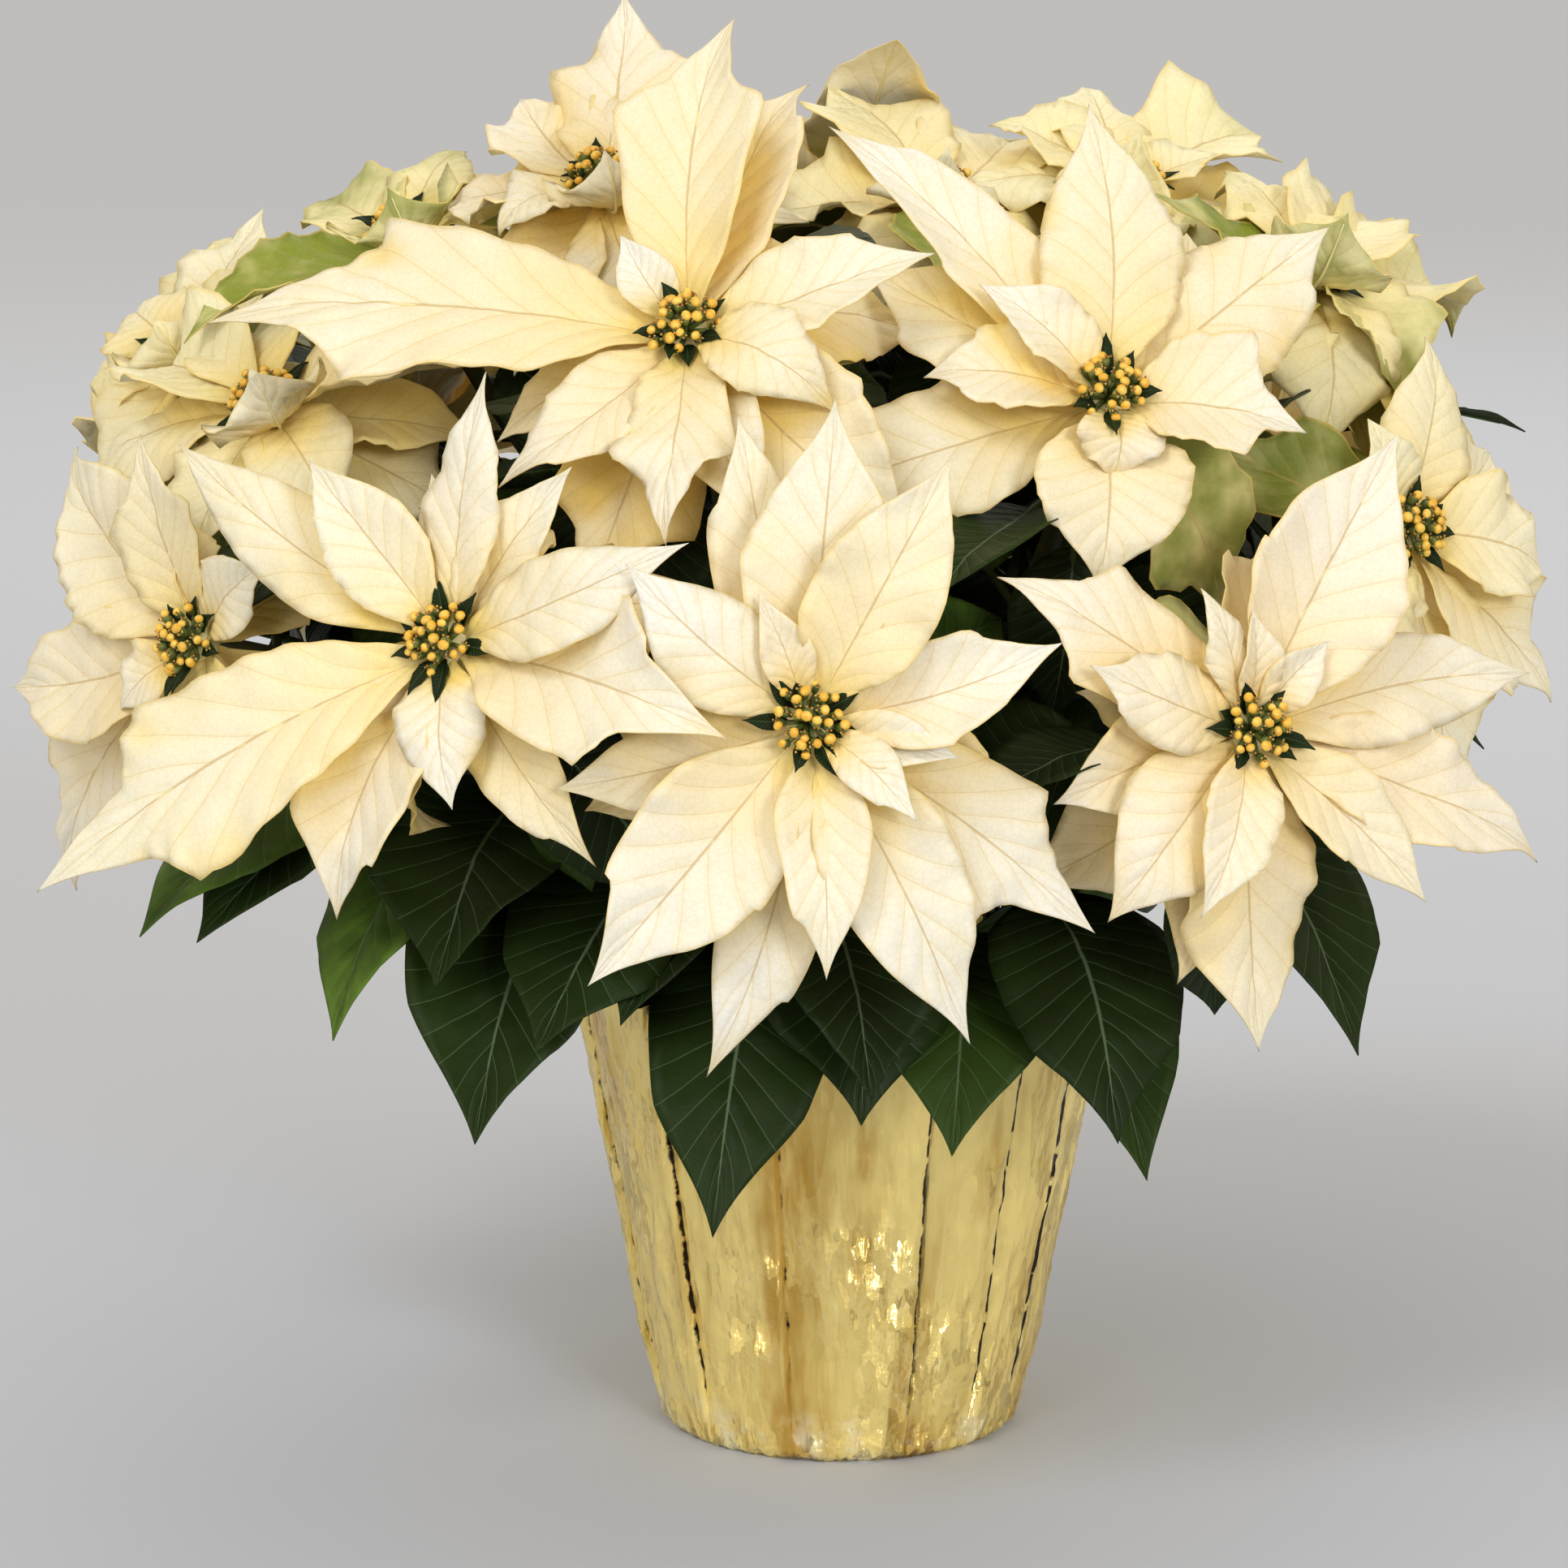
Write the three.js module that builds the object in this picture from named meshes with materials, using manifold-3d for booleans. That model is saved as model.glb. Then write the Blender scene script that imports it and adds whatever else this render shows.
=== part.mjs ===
// A cream poinsettia in full bloom: three branching plants rooted in one nursery pot, which stands
// in a pleated gold foil cover. Millimetres, +Z up. The origin is the middle of the cover's flat
// foot, and the plant's front faces -Y.
import * as THREE from "three";
import { mergeVertices } from "three/addons/utils/BufferGeometryUtils.js";
import Module from "manifold-3d";

const wasm = await Module();
wasm.setup();

// ---------------------------------------------------------------- driving dimensions

const SEAT_GAP = 0.3; // left between pieces that rest on each other
const GROWING_ROOM = 0.7; // least air between a blade and any piece of another node

const COVER = {
  height: 150,
  rimRadius: 85,
  footRadius: 58,
  footCorner: 4,
  wall: 0.9,
  pleats: 13,
  pleatDepth: 3.6,
  pleatsFullAt: 45, // the pleats fade in from the foot up to this height
  bend: 60, // height of the ring of points in the middle of the wall
  rimRuffle: 2.5,
};
const POT = {
  rimRadius: 79.5,
  footRadius: 52.5,
  rimTop: 143,
  rimBead: 8,
  beadStep: 1.6,
  wall: 1.8,
  sides: 16,
};
const DRAIN_HOLE = { radius: 5, ring: 36, count: 3 };
const SOIL = { top: 124, clear: 0.5, crumb: 1.8, crumbPitch: 5 };
const MAIN_STEM = {
  radius: 5.5,
  topRadius: 4.95,
  ring: 24,
  foot: 84,
  firstBranch: 146,
  branchStep: 9,
  sides: 6,
};
const BRANCH = {
  rootRadius: 3.9,
  radius: 2.9,
  sides: 5,
  steps: 4,
  outward: 0.2, // shares of its reach: how far it leaves the main stem outwards and upwards,
  upward: 0.26,
  straightEnd: 0.3, // and how far off the bloom's back it starts to straighten
};
const KNOB = { radius: 6.5, footRadius: 4.55, height: 7, sides: 5, rootAt: 3 }; // where bracts root
const ROOT_LAYER = { lift: 14, lowest: -1, highest: 1.6 }; // each 14 degrees of lift roots 1 mm higher
const BRACT_BLADE = { thickness: 0.9, fold: 7, wave: 0.12 };
const LEAF_BLADE = { thickness: 1.0, fold: 9, wave: 0.1 };
const CLUSTER = { footRadius: 4.5, radius: 12.5, height: 13, buds: 4, budRise: 1.7 }; // a bloom's cyathia

// The rings of a bunch of cyathia above its foot: [radius, height] as shares of the bunch's own.
const CLUSTER_RINGS = [[0.6, 0.32], [0.9, 0.66], [0.5, 0.9], [0, 0.86]];

// ---------------------------------------------------------------- materials

const finish = (color, roughness, metalness = 0) =>
  new THREE.MeshStandardMaterial({ color, roughness, metalness, flatShading: true });
const MATERIAL = {
  bract: finish(0xf4e9c6, 0.6),
  cyathia: finish(0xd9b02c, 0.45),
  leafy: finish(0x1f3d20, 0.5),
  soil: finish(0x3a2c20, 0.95),
  pot: finish(0x5d2f22, 0.7),
  foil: finish(0xd2b15c, 0.32, 0.9),
};

// ---------------------------------------------------------------- the plants and their blooms

// Each plant's compass bearing round the pot: 0 is the front, 90 the right-hand side.
const PLANTS = { left: -62, right: 58, back: 178 };

// A bract's row: [clock, length, width, lift, bend, lobe]. Clock is where it points on the bloom's
// face, from straight up and clockwise; lift raises its root off the face and bend lowers its tip,
// in degrees; lobe is 1 where its edge carries a pair of teeth.
const BRACTS = {
  top_left: [
    [357, 112, 38, 15, 15, 1], [8, 104, 36, 2, 8, 0], [67, 76, 29, 15, 20, 0], [114, 78, 26, 40, 95, 0],
    [152, 72, 26, 8, 20, 0], [176, 76, 30, 20, 30, 1], [219, 72, 28, 15, 20, 0], [273, 156, 48, 6, 14, 1],
    [320, 36, 16, 30, 25, 0], [124, 96, 42, -6, 35, 0], [250, 70, 30, -6, 30, 0],
  ],
  top_right: [
    [5, 94, 41, 20, 15, 0], [33, 82, 30, 0, 10, 0], [56, 94, 44, 15, 15, 0], [106, 62, 37, 20, 35, 1],
    [190, 60, 43, 8, 40, 0], [186, 44, 24, 45, 110, 0], [288, 60, 28, 20, 55, 0], [327, 122, 27, 4, 4, 0],
    [314, 52, 22, 35, 40, 0], [266, 94, 42, -6, 20, 0], [303, 88, 36, -3, 18, 0],
  ],
  left: [
    [296, 124, 28, 10, 15, 0], [312, 72, 27, 26, 22, 0], [345, 48, 18, 28, 10, 1], [0, 78, 24, 20, 5, 0],
    [32, 62, 22, 18, 20, 0], [68, 92, 28, 20, 20, 0], [101, 98, 42, 12, 12, 1], [138, 78, 24, -2, 30, 0],
    [165, 55, 27, 30, 60, 0], [200, 92, 36, 8, 35, 0], [234, 154, 48, 10, 25, 1],
  ],
  centre: [
    [5, 90, 40, 12, 15, 0], [348, 92, 30, -4, 8, 0], [29, 86, 34, 20, 20, 0], [73, 74, 27, 15, 25, 0],
    [125, 106, 36, -6, 25, 1], [153, 110, 36, 0, 25, 0], [176, 74, 24, 12, 20, 0],
    [196, 108, 28, -6, 15, 0], [220, 96, 40, 8, 25, 0], [256, 74, 26, -4, 5, 0], [310, 68, 29, 25, 25, 0],
    [338, 38, 14, 32, 20, 0], [134, 44, 15, 38, 40, 0], [104, 42, 15, 34, 30, 0],
  ],
  right: [
    [36, 100, 44, 15, 15, 0], [308, 86, 34, 4, 10, 1], [292, 60, 26, 25, 30, 0], [332, 46, 15, 30, 20, 0],
    [0, 34, 15, 38, 30, 0], [48, 34, 14, 36, 30, 0], [85, 104, 31, 12, 15, 0], [112, 118, 34, 2, 15, 0],
    [136, 76, 25, 10, 20, 0], [177, 96, 42, -2, 30, 0], [206, 62, 23, 27, 50, 0], [224, 76, 36, 14, 50, 0],
    [256, 60, 30, -4, 25, 0],
  ],
  far_left: [
    [304, 94, 44, 10, 20, 0], [256, 98, 38, 5, 20, 0], [226, 140, 38, -5, 25, 1], [52, 42, 24, 25, 20, 0],
    [228, 36, 20, 30, 40, 0], [322, 48, 24, 0, 20, 0], [190, 56, 26, 0, 30, 0], [142, 50, 24, 0, 40, 0],
  ],
  upper_left: [
    [260, 86, 38, 10, 50, 0], [288, 84, 40, 20, 75, 0], [128, 56, 32, 10, 60, 0], [60, 70, 36, 10, 40, 0],
    [322, 64, 38, 38, 90, 0], [188, 56, 32, 5, 45, 0], [125, 54, 38, 12, -108, 0],
  ],
  outer_left: [
    [264, 56, 34, 10, 35, 0], [348, 66, 34, 23, 40, 0], [322, 78, 36, 13, 20, 1], [292, 50, 32, 25, 55, 0],
    [242, 60, 34, 0, 45, 0], [40, 54, 30, 28, 40, 0], [110, 64, 34, 0, 40, 0], [180, 62, 34, 0, 45, 0],
    [116, 54, 38, 12, -108, 0],
  ],
  crown_left: [
    [292, 62, 34, 20, 45, 0], [350, 52, 30, 38, 60, 0], [38, 54, 30, 23, 45, 0], [100, 66, 36, 5, 45, 0],
    [170, 70, 38, 0, 50, 0], [235, 66, 36, 5, 45, 0], [126, 54, 38, 12, -108, 0],
  ],
  crown: [
    [356, 72, 40, 33, 10, 1], [320, 58, 38, 30, 25, 0], [280, 62, 36, 5, 35, 0], [14, 74, 36, 16, 20, 0],
    [228, 44, 26, 35, 70, 0], [90, 66, 34, 5, 30, 0], [150, 66, 34, 0, 45, 0], [200, 66, 34, -4, 50, 0],
    [159, 54, 38, 12, -108, 0],
  ],
  crown_mid: [
    [348, 78, 44, 28, 50, 1], [40, 70, 42, 23, 40, 0], [296, 62, 36, 0, 30, 0], [160, 60, 38, 10, 60, 0],
    [100, 66, 36, 5, 40, 0], [220, 68, 38, 0, 45, 0], [258, 60, 32, -5, 30, 0], [206, 54, 38, 12, -108, 0],
  ],
  crown_right: [
    [68, 74, 40, 15, 20, 1], [12, 54, 34, 33, 30, 0], [104, 76, 38, 0, 35, 0], [288, 58, 34, 5, 35, 0],
    [80, 34, 20, 38, 40, 0], [328, 54, 32, 18, 30, 0], [160, 72, 40, 0, 45, 0], [230, 66, 36, 0, 45, 0],
    [219, 54, 38, 12, -108, 0],
  ],
  upper_right: [
    [98, 78, 46, 8, 30, 0], [56, 62, 40, 15, 35, 0], [12, 62, 38, 18, 45, 0], [148, 118, 56, 6, 70, 0],
    [202, 86, 46, 10, 75, 0], [176, 62, 38, 22, 80, 0], [250, 62, 36, 0, 45, 0], [310, 56, 34, 8, 40, 0],
    [235, 54, 38, 12, -108, 0],
  ],
  far_right: [
    [136, 80, 40, 5, 15, 1], [24, 62, 32, 15, 15, 0], [108, 64, 36, 10, 30, 0], [336, 36, 20, 30, 20, 0],
    [220, 40, 24, 10, 20, 0], [172, 88, 38, -2, 20, 0], [74, 66, 32, 0, 20, 0], [260, 56, 28, 0, 30, 0],
  ],
};

// Each bloom stands where `at` says, at the end of a branch of its plant, and faces the bearing and
// the rise above level in `faces`. Those with no bract rows grow two whorls by rule.
const BLOOMS = [
  { name: "centre", plant: "left", at: [-11, -190, 263], faces: [0, 16] },
  { name: "top_left", plant: "left", at: [-47, -100, 364], faces: [-15, 42] },
  { name: "top_right", plant: "right", at: [78, -105, 345], faces: [15, 40] },
  { name: "left", plant: "left", at: [-116, -150, 279], faces: [-30, 24] },
  { name: "right", plant: "right", at: [118, -150, 253], faces: [28, 18] },
  { name: "far_left", plant: "left", at: [-199, -60, 264], faces: [-42, 12] },
  { name: "upper_left", plant: "left", at: [-180, -10, 331], faces: [-35, 52] },
  { name: "outer_left", plant: "back", at: [-211, 56, 338], faces: [-42, 50] },
  { name: "crown_left", plant: "back", at: [-140, 46, 378], faces: [-40, 60] },
  { name: "crown", plant: "back", at: [-76, 10, 398], faces: [-15, 66] },
  { name: "crown_mid", plant: "back", at: [32, 36, 391], faces: [20, 67] },
  { name: "crown_right", plant: "right", at: [93, 50, 394], faces: [30, 67] },
  { name: "upper_right", plant: "right", at: [148, 5, 370], faces: [45, 58] },
  { name: "far_right", plant: "right", at: [174, -50, 298], faces: [40, 20] },
  { name: "back_left", plant: "back", at: [-146, 152, 292], faces: [-142, 24] },
  { name: "back_crown", plant: "back", at: [8, 138, 376], faces: [176, 50] },
  { name: "back_right", plant: "right", at: [148, 142, 300], faces: [134, 26] },
  { name: "back_centre", plant: "back", at: [4, 204, 272], faces: [180, 18] },
];

// The two whorls of a bloom that has no rows: count, first clock, and a mean row with its scatter.
const WHORLS = [
  { count: 6, first: 12, length: 96, width: 38, lift: 6, bend: 26, spread: 0.16 },
  { count: 3, first: 44, length: 56, width: 25, lift: 32, bend: 36, spread: 0.12 },
];
const WHORL_LAYER = 10; // every other bract of a whorl is raised this much, to lie over its neighbours

// The leaves that hang over the pot and stand out between the blooms: the bloom whose branch they
// spring from, how far up it, where the tip comes, the width and the bend.
const HANGING_LEAVES = [
  ["far_left", 0.5, [-193, -120, 182], 48, 50],
  ["far_left", 0.42, [-156, -114, 152], 46, 75],
  ["far_left", 0.34, [-125, -142, 153], 68, 70],
  ["far_left", 0.22, [-109, -150, 128], 64, 75],
  ["left", 0.24, [-88, -150, 160], 56, 70],
  ["centre", 0.16, [-39, -165, 104], 54, 85],
  ["centre", 0.32, [-67, -152, 167], 40, 50],
  ["centre", 0.24, [7, -150, 124], 64, 75],
  ["centre", 0.42, [8, -166, 146], 50, 60],
  ["right", 0.18, [32, -148, 126], 54, 75],
  ["right", 0.3, [80, -152, 129], 56, 80],
  ["far_right", 0.2, [88, -126, 118], 46, 80],
  ["far_right", 0.42, [154, -120, 148], 46, 60],
  ["far_right", 0.55, [214, -60, 219], 44, 40],
  ["far_right", 0.7, [211, -16, 273], 42, 30],
  ["upper_right", 0.62, [232, 20, 316], 28, 30],
  ["far_left", 0.5, [-242, -96, 208], 50, 60],
  ["far_left", 0.7, [-246, -20, 262], 44, 50],
  ["outer_left", 0.66, [-226, 82, 354], 50, 40],
  ["top_left", 0.6, [-130, -60, 307], 58, 50],
  ["top_right", 0.55, [52, -80, 262], 58, 55],
  ["top_right", 0.42, [75, -105, 205], 48, 50],
  ["crown", 0.8, [8, -36, 392], 42, 40],
];

// The leaves that a branch has by rule, from its top down: how far up it they spring, where they
// point beside its own bearing, and their length with the stalk, width, lift and bend. A branch
// with hanging leaves has one fewer for each of them, but always the first.
const BRANCH_LEAVES = [
  { up: 0.82, beside: -84, length: 88, width: 42, lift: 14, bend: 34 },
  { up: 0.38, beside: -34, length: 150, width: 60, lift: 14, bend: 80 },
  { up: 0.62, beside: 46, length: 120, width: 54, lift: 14, bend: 54 },
];

// Outlines: one [along, half width, lead] for each station from the root, as shares of the blade's
// length and width. Lead moves the edge ahead of the rib, which draws it out into a tooth.
const OUTLINE = {
  bract: [[0, 0.05, 0], [0.34, 0.48, 0], [0.66, 0.38, 0]],
  lobed: [[0, 0.05, 0], [0.3, 0.42, 0], [0.54, 0.56, 0.1], [0.74, 0.24, 0]],
  small: [[0, 0.06, 0], [0.48, 0.5, 0]],
  leaf: [[0, 0.03, 0], [0.32, 0.03, 0], [0.5, 0.5, 0.02], [0.74, 0.4, 0.05]],
};
const SMALL_BRACT = 52; // a bract shorter than this has the small outline

// What a blade tries, in order, until it is clear of its neighbours: [more lift, more clock, more
// bend] in degrees, at each of these shares of its full length. More lift with twice the bend
// arches it over a neighbour with its tip left in place.
const BENDS_CLEAR = [
  [0, 0, 0], [5, 0, 10], [-5, 0, -10], [0, 5, 0], [0, -5, 0], [8, 0, 8], [-8, 0, -8], [11, 0, 22],
  [-11, 0, -22], [6, 6, 8], [6, -6, 8], [-6, 6, -8], [-6, -6, -8], [14, 0, 14], [-14, 0, -14],
  [17, 0, 34], [12, 9, 18], [12, -9, 18], [-12, 9, -14], [-12, -9, -14], [20, 0, 20], [-20, 0, -20],
  [0, 14, 0], [0, -14, 0], [16, 14, 20], [16, -14, 20], [-16, 14, -16], [-16, -14, -16],
];
const SHORTENED = [1, 0.9, 0.8, 0.7, 0.6];
const LEAST_UNCROSSED = 0.85; // a blade crosses its own node's blades sooner than grow shorter than this
const ROOT_BALL = { bracts: 10, leaves: 8 }; // radius in which a node's own blades may cross

// ---------------------------------------------------------------- small helpers

const radians = THREE.MathUtils.degToRad;
const vector = (x, y, z) => new THREE.Vector3(x, y, z);

/** A number from -1 to 1 that is always the same for the same pair: the seeded scatter of the repeats. */
function scatter(i, j) {
  const wild = Math.sin(i * 12.9898 + j * 78.233) * 43758.5453;
  return 2 * (wild - Math.floor(wild)) - 1;
}

/** The level unit vector on a compass bearing, raised by a slope. */
function heading(bearing, rise = 0) {
  const b = radians(bearing);
  const r = radians(rise);
  return vector(Math.sin(b) * Math.cos(r), -Math.cos(b) * Math.cos(r), Math.sin(r));
}

/** A closed geometry as a solid, with its shared vertices merged. */
function solidOf(geometry) {
  const bare = new THREE.BufferGeometry();
  bare.setAttribute("position", geometry.getAttribute("position"));
  bare.setIndex(geometry.index);
  const merged = mergeVertices(bare, 1e-4);
  const triVerts = new Uint32Array(merged.index.array);
  return new wasm.Manifold(
    new wasm.Mesh({ numProp: 3, vertProperties: merged.attributes.position.array, triVerts }),
  );
}

/** Several solids that cross, as one. */
const fused = (solids) => solids.reduce((whole, next) => whole.add(next));

/** A solid as a named mesh, keeping its largest body where a cut has left a scrap. */
function meshOf(name, solid, material) {
  const bodies = solid.decompose().sort((a, b) => b.volume() - a.volume());
  const { numProp, numVert, vertProperties, triVerts } = bodies[0].getMesh();
  const positions = new Float32Array(numVert * 3);
  for (let i = 0; i < numVert; i++) {
    positions.set(vertProperties.subarray(i * numProp, i * numProp + 3), i * 3);
  }
  const geometry = new THREE.BufferGeometry();
  geometry.setAttribute("position", new THREE.BufferAttribute(positions, 3));
  geometry.setIndex(new THREE.BufferAttribute(triVerts, 1));
  const mesh = new THREE.Mesh(geometry, material);
  mesh.name = name;
  return mesh;
}

// ---------------------------------------------------------------- pot, cover and soil

/** The cover's outer radius at a height, before its pleats. */
function coverRadius(z) {
  const share = (z - COVER.footCorner) / (COVER.height - COVER.footCorner);
  return THREE.MathUtils.lerp(COVER.footRadius, COVER.rimRadius, share);
}

/** The foil cover: a thin cup whose wall steps out across each pleat and drops back at its fold. */
function foilCover() {
  const { height, footCorner, footRadius, wall, pleats, pleatDepth, rimRuffle } = COVER;
  const profile = [
    [0, 0],
    [footRadius - footCorner, 0],
    [coverRadius(footCorner), footCorner],
    [coverRadius(COVER.bend), COVER.bend],
    [coverRadius(height), height],
    [coverRadius(height) - wall, height],
    [footRadius - footCorner, wall],
    [0, wall],
  ].map(([r, z]) => new THREE.Vector2(r, z));
  const cup = new THREE.LatheGeometry(profile, pleats * 3).rotateX(Math.PI / 2);
  const at = cup.getAttribute("position");
  for (let i = 0; i < at.count; i++) {
    const [x, y, z] = [at.getX(i), at.getY(i), at.getZ(i)];
    const pleat = ((Math.atan2(y, x) / (2 * Math.PI) + 1) * pleats + 1e-6) % 1;
    const depth = pleatDepth * pleat * THREE.MathUtils.smoothstep(z, wall, COVER.pleatsFullAt);
    const out = 1 + depth / Math.max(Math.hypot(x, y), 1);
    const ruffle = z > height - 1 ? rimRuffle * Math.sin(pleat * 2 * Math.PI) : 0;
    at.setXYZ(i, x * out, y * out, z + ruffle);
  }
  return solidOf(cup);
}

/** The nursery pot: a tapered cup with a stepped rim and drain holes in its floor. */
function nurseryPot() {
  const { rimRadius, footRadius, rimTop, rimBead, beadStep, wall, sides } = POT;
  const foot = COVER.wall + SEAT_GAP;
  const beadFoot = rimTop - rimBead;
  const profile = [
    [0, foot],
    [footRadius, foot],
    [rimRadius - beadStep, beadFoot],
    [rimRadius, beadFoot],
    [rimRadius, rimTop],
    [rimRadius - wall, rimTop],
    [footRadius - wall, foot + wall],
    [0, foot + wall],
  ].map(([r, z]) => new THREE.Vector2(r, z));
  const cup = solidOf(new THREE.LatheGeometry(profile, sides).rotateX(Math.PI / 2));
  const drains = Array.from({ length: DRAIN_HOLE.count }, (_, i) => {
    const angle = (2 * Math.PI * i) / DRAIN_HOLE.count;
    const drill = new THREE.CylinderGeometry(DRAIN_HOLE.radius, DRAIN_HOLE.radius, 6 * wall, 6);
    drill.rotateX(Math.PI / 2);
    drill.translate(DRAIN_HOLE.ring * Math.cos(angle), DRAIN_HOLE.ring * Math.sin(angle), foot);
    return solidOf(drill);
  });
  return cup.subtract(fused(drains));
}

/** The growing mix: a plug that fills the pot, crumbly on top, with a plain hole for each main stem. */
function growingMix() {
  const { footRadius, rimRadius, rimTop, wall, sides } = POT;
  const floor = COVER.wall + 2 * SEAT_GAP + wall;
  const inside = (z) =>
    THREE.MathUtils.mapLinear(z, floor, rimTop, footRadius, rimRadius) - wall - SOIL.clear;
  const profile = [
    [0, floor],
    [inside(floor), floor],
    [inside(SOIL.top), SOIL.top],
    [inside(SOIL.top) * 0.5, SOIL.top],
    [0, SOIL.top],
  ].map(([r, z]) => new THREE.Vector2(r, z));
  const plug = new THREE.LatheGeometry(profile, sides).rotateX(Math.PI / 2);
  const at = plug.getAttribute("position");
  for (let i = 0; i < at.count; i++) {
    const [x, y, z] = [at.getX(i), at.getY(i), at.getZ(i)];
    const crumb = SOIL.crumb * Math.sin(x / SOIL.crumbPitch) * Math.cos(y / SOIL.crumbPitch + 1);
    if (z > floor + 1) at.setZ(i, z + crumb);
  }
  const holes = Object.values(PLANTS).map((bearing) => {
    const { radius, ring, foot, sides: around } = MAIN_STEM;
    const depth = SOIL.top - foot + 20;
    const bore = new THREE.CylinderGeometry(radius + SEAT_GAP, radius + SEAT_GAP, depth, around);
    bore.rotateX(Math.PI / 2);
    const place = heading(bearing).multiplyScalar(ring);
    bore.translate(place.x, place.y, foot - SEAT_GAP + depth / 2);
    return solidOf(bore);
  });
  return solidOf(plug).subtract(fused(holes));
}

// ---------------------------------------------------------------- stems

/** Which of a list of points is nearest, as its index. */
function nearestOf(points, p) {
  const away = points.map((point) => point.distanceToSquared(p));
  return away.indexOf(Math.min(...away));
}

/** A round stem along a curve, thinner towards its far end. */
function stemAlong(curve, steps, sides, rootRadius, endRadius) {
  const ring = new THREE.Shape();
  for (let i = 0; i < sides; i++) {
    const angle = (2 * Math.PI * i) / sides;
    ring[i ? "lineTo" : "moveTo"](Math.cos(angle), Math.sin(angle));
  }
  const tube = new THREE.ExtrudeGeometry(ring, { steps, extrudePath: curve });
  const at = tube.getAttribute("position");
  const stations = curve.getSpacedPoints(steps);
  for (let i = 0; i < at.count; i++) {
    const p = new THREE.Vector3().fromBufferAttribute(at, i);
    const near = nearestOf(stations, p);
    const radius = THREE.MathUtils.lerp(rootRadius, endRadius, near / steps);
    p.sub(stations[near]).multiplyScalar(radius).add(stations[near]);
    at.setXYZ(i, p.x, p.y, p.z);
  }
  return solidOf(tube);
}

/** A point on a plant's main stem at a height. */
const onMainStem = (plant, z) => heading(PLANTS[plant]).multiplyScalar(MAIN_STEM.ring).setZ(z);

/** The blooms of a plant from the lowest up, which is the order in which their branches spring. */
function bloomsOf(plant) {
  return BLOOMS.filter((bloom) => bloom.plant === plant).sort((a, b) => a.at[2] - b.at[2]);
}

/** The line of a bloom's branch: out of the main stem, upwards, and square into the bloom's back. */
function branchCurve(bloom) {
  const rank = bloomsOf(bloom.plant).indexOf(bloom);
  const start = onMainStem(bloom.plant, MAIN_STEM.firstBranch + rank * MAIN_STEM.branchStep);
  const end = bloom.centre.clone().addScaledVector(bloom.axis, -(KNOB.height + SEAT_GAP));
  const reach = end.distanceTo(start);
  const rise = vector(end.x - start.x, end.y - start.y, 0).setLength(BRANCH.outward * reach);
  rise.setZ(BRANCH.upward * reach);
  const behind = end.clone().addScaledVector(bloom.axis, -BRANCH.straightEnd * reach);
  return new THREE.CubicBezierCurve3(start, start.clone().add(rise), behind, end);
}

/** The point on a branch's own straight-sided stem that is nearest to its line, a share of the way up. */
function onBranch(bloom, up) {
  const at = bloom.branch.getPoint(up);
  const stations = bloom.branch.getSpacedPoints(BRANCH.steps);
  const stretches = stations.slice(1).map((next, i) => new THREE.Line3(stations[i], next));
  const points = stretches.map((line) => line.closestPointToPoint(at, true, new THREE.Vector3()));
  return points[nearestOf(points, at)];
}

// ---------------------------------------------------------------- blades: bracts and leaves

/** A blade's rib: it leaves the root along `start` and ends along `start` turned down by the bend. */
function ribCurve({ root, start, face, length, bend }) {
  const b = radians(bend);
  const end = start.clone().multiplyScalar(Math.cos(b)).addScaledVector(face, -Math.sin(b));
  const elbow = root.clone().addScaledVector(start, length / 2);
  return new THREE.QuadraticBezierCurve3(root, elbow, elbow.clone().addScaledVector(end, length / 2));
}

/**
 * A thin blade folded along its rib. It is a six-sided cone with one ring of vertices for each
 * station of the outline: left edge, rib and right edge, on the upper and on the lower face. The
 * cone's apex is the tip. `guard` thickens and widens it, to feel for what is too near.
 */
function bladeSolid(blade, guard = 0) {
  const { face, outline, width, thickness, wave, seed } = blade;
  const fold = radians(blade.fold);
  const rib = ribCurve(blade);
  const side = new THREE.Vector3().crossVectors(blade.start, face).normalize();
  const cone = new THREE.ConeGeometry(1, 1, 6, outline.length);
  const at = cone.getAttribute("position");
  for (let i = 0; i < at.count; i++) {
    const radius = 0.5 - at.getY(i);
    const station = Math.round((1 - radius) * outline.length);
    if (station === outline.length) {
      at.setXYZ(i, rib.v2.x, rib.v2.y, rib.v2.z);
      continue;
    }
    const across = Math.round(at.getX(i) / radius);
    const upper = Math.sign(Math.round((2 * at.getZ(i)) / radius));
    const [along, halfShare, lead] = outline[station];
    const t = Math.min(along + lead * Math.abs(across), 1);
    const tangent = rib.getTangent(t);
    const normal = new THREE.Vector3().crossVectors(side, tangent).normalize();
    const half = halfShare * width + guard;
    const ripple = wave * half * scatter(seed + station, across);
    const rise = Math.abs(across) * (half * Math.sin(fold) + (station ? ripple : 0));
    const p = rib.getPoint(t);
    p.addScaledVector(side, across * half * Math.cos(fold));
    p.addScaledVector(normal, rise + upper * (thickness / 2 + guard));
    at.setXYZ(i, p.x, p.y, p.z);
  }
  return solidOf(cone);
}

const standing = []; // every piece already in its place, with the node that owns it

function boxesMeet(a, b) {
  return a.min.every((low, i) => low <= b.max[i] && b.min[i] <= a.max[i]);
}

/** Puts a solid in place, so that what grows later keeps clear of it. */
function stand(owner, solid) {
  standing.push({ owner, solid, box: solid.boundingBox() });
  return solid;
}

/** Whether a solid meets none of the pieces that the test picks by their owner. */
function isClear(solid, counts) {
  const box = solid.boundingBox();
  const near = standing.filter((piece) => counts(piece.owner) && boxesMeet(piece.box, box));
  return near.every((piece) => piece.solid.intersect(solid).isEmpty());
}

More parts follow.
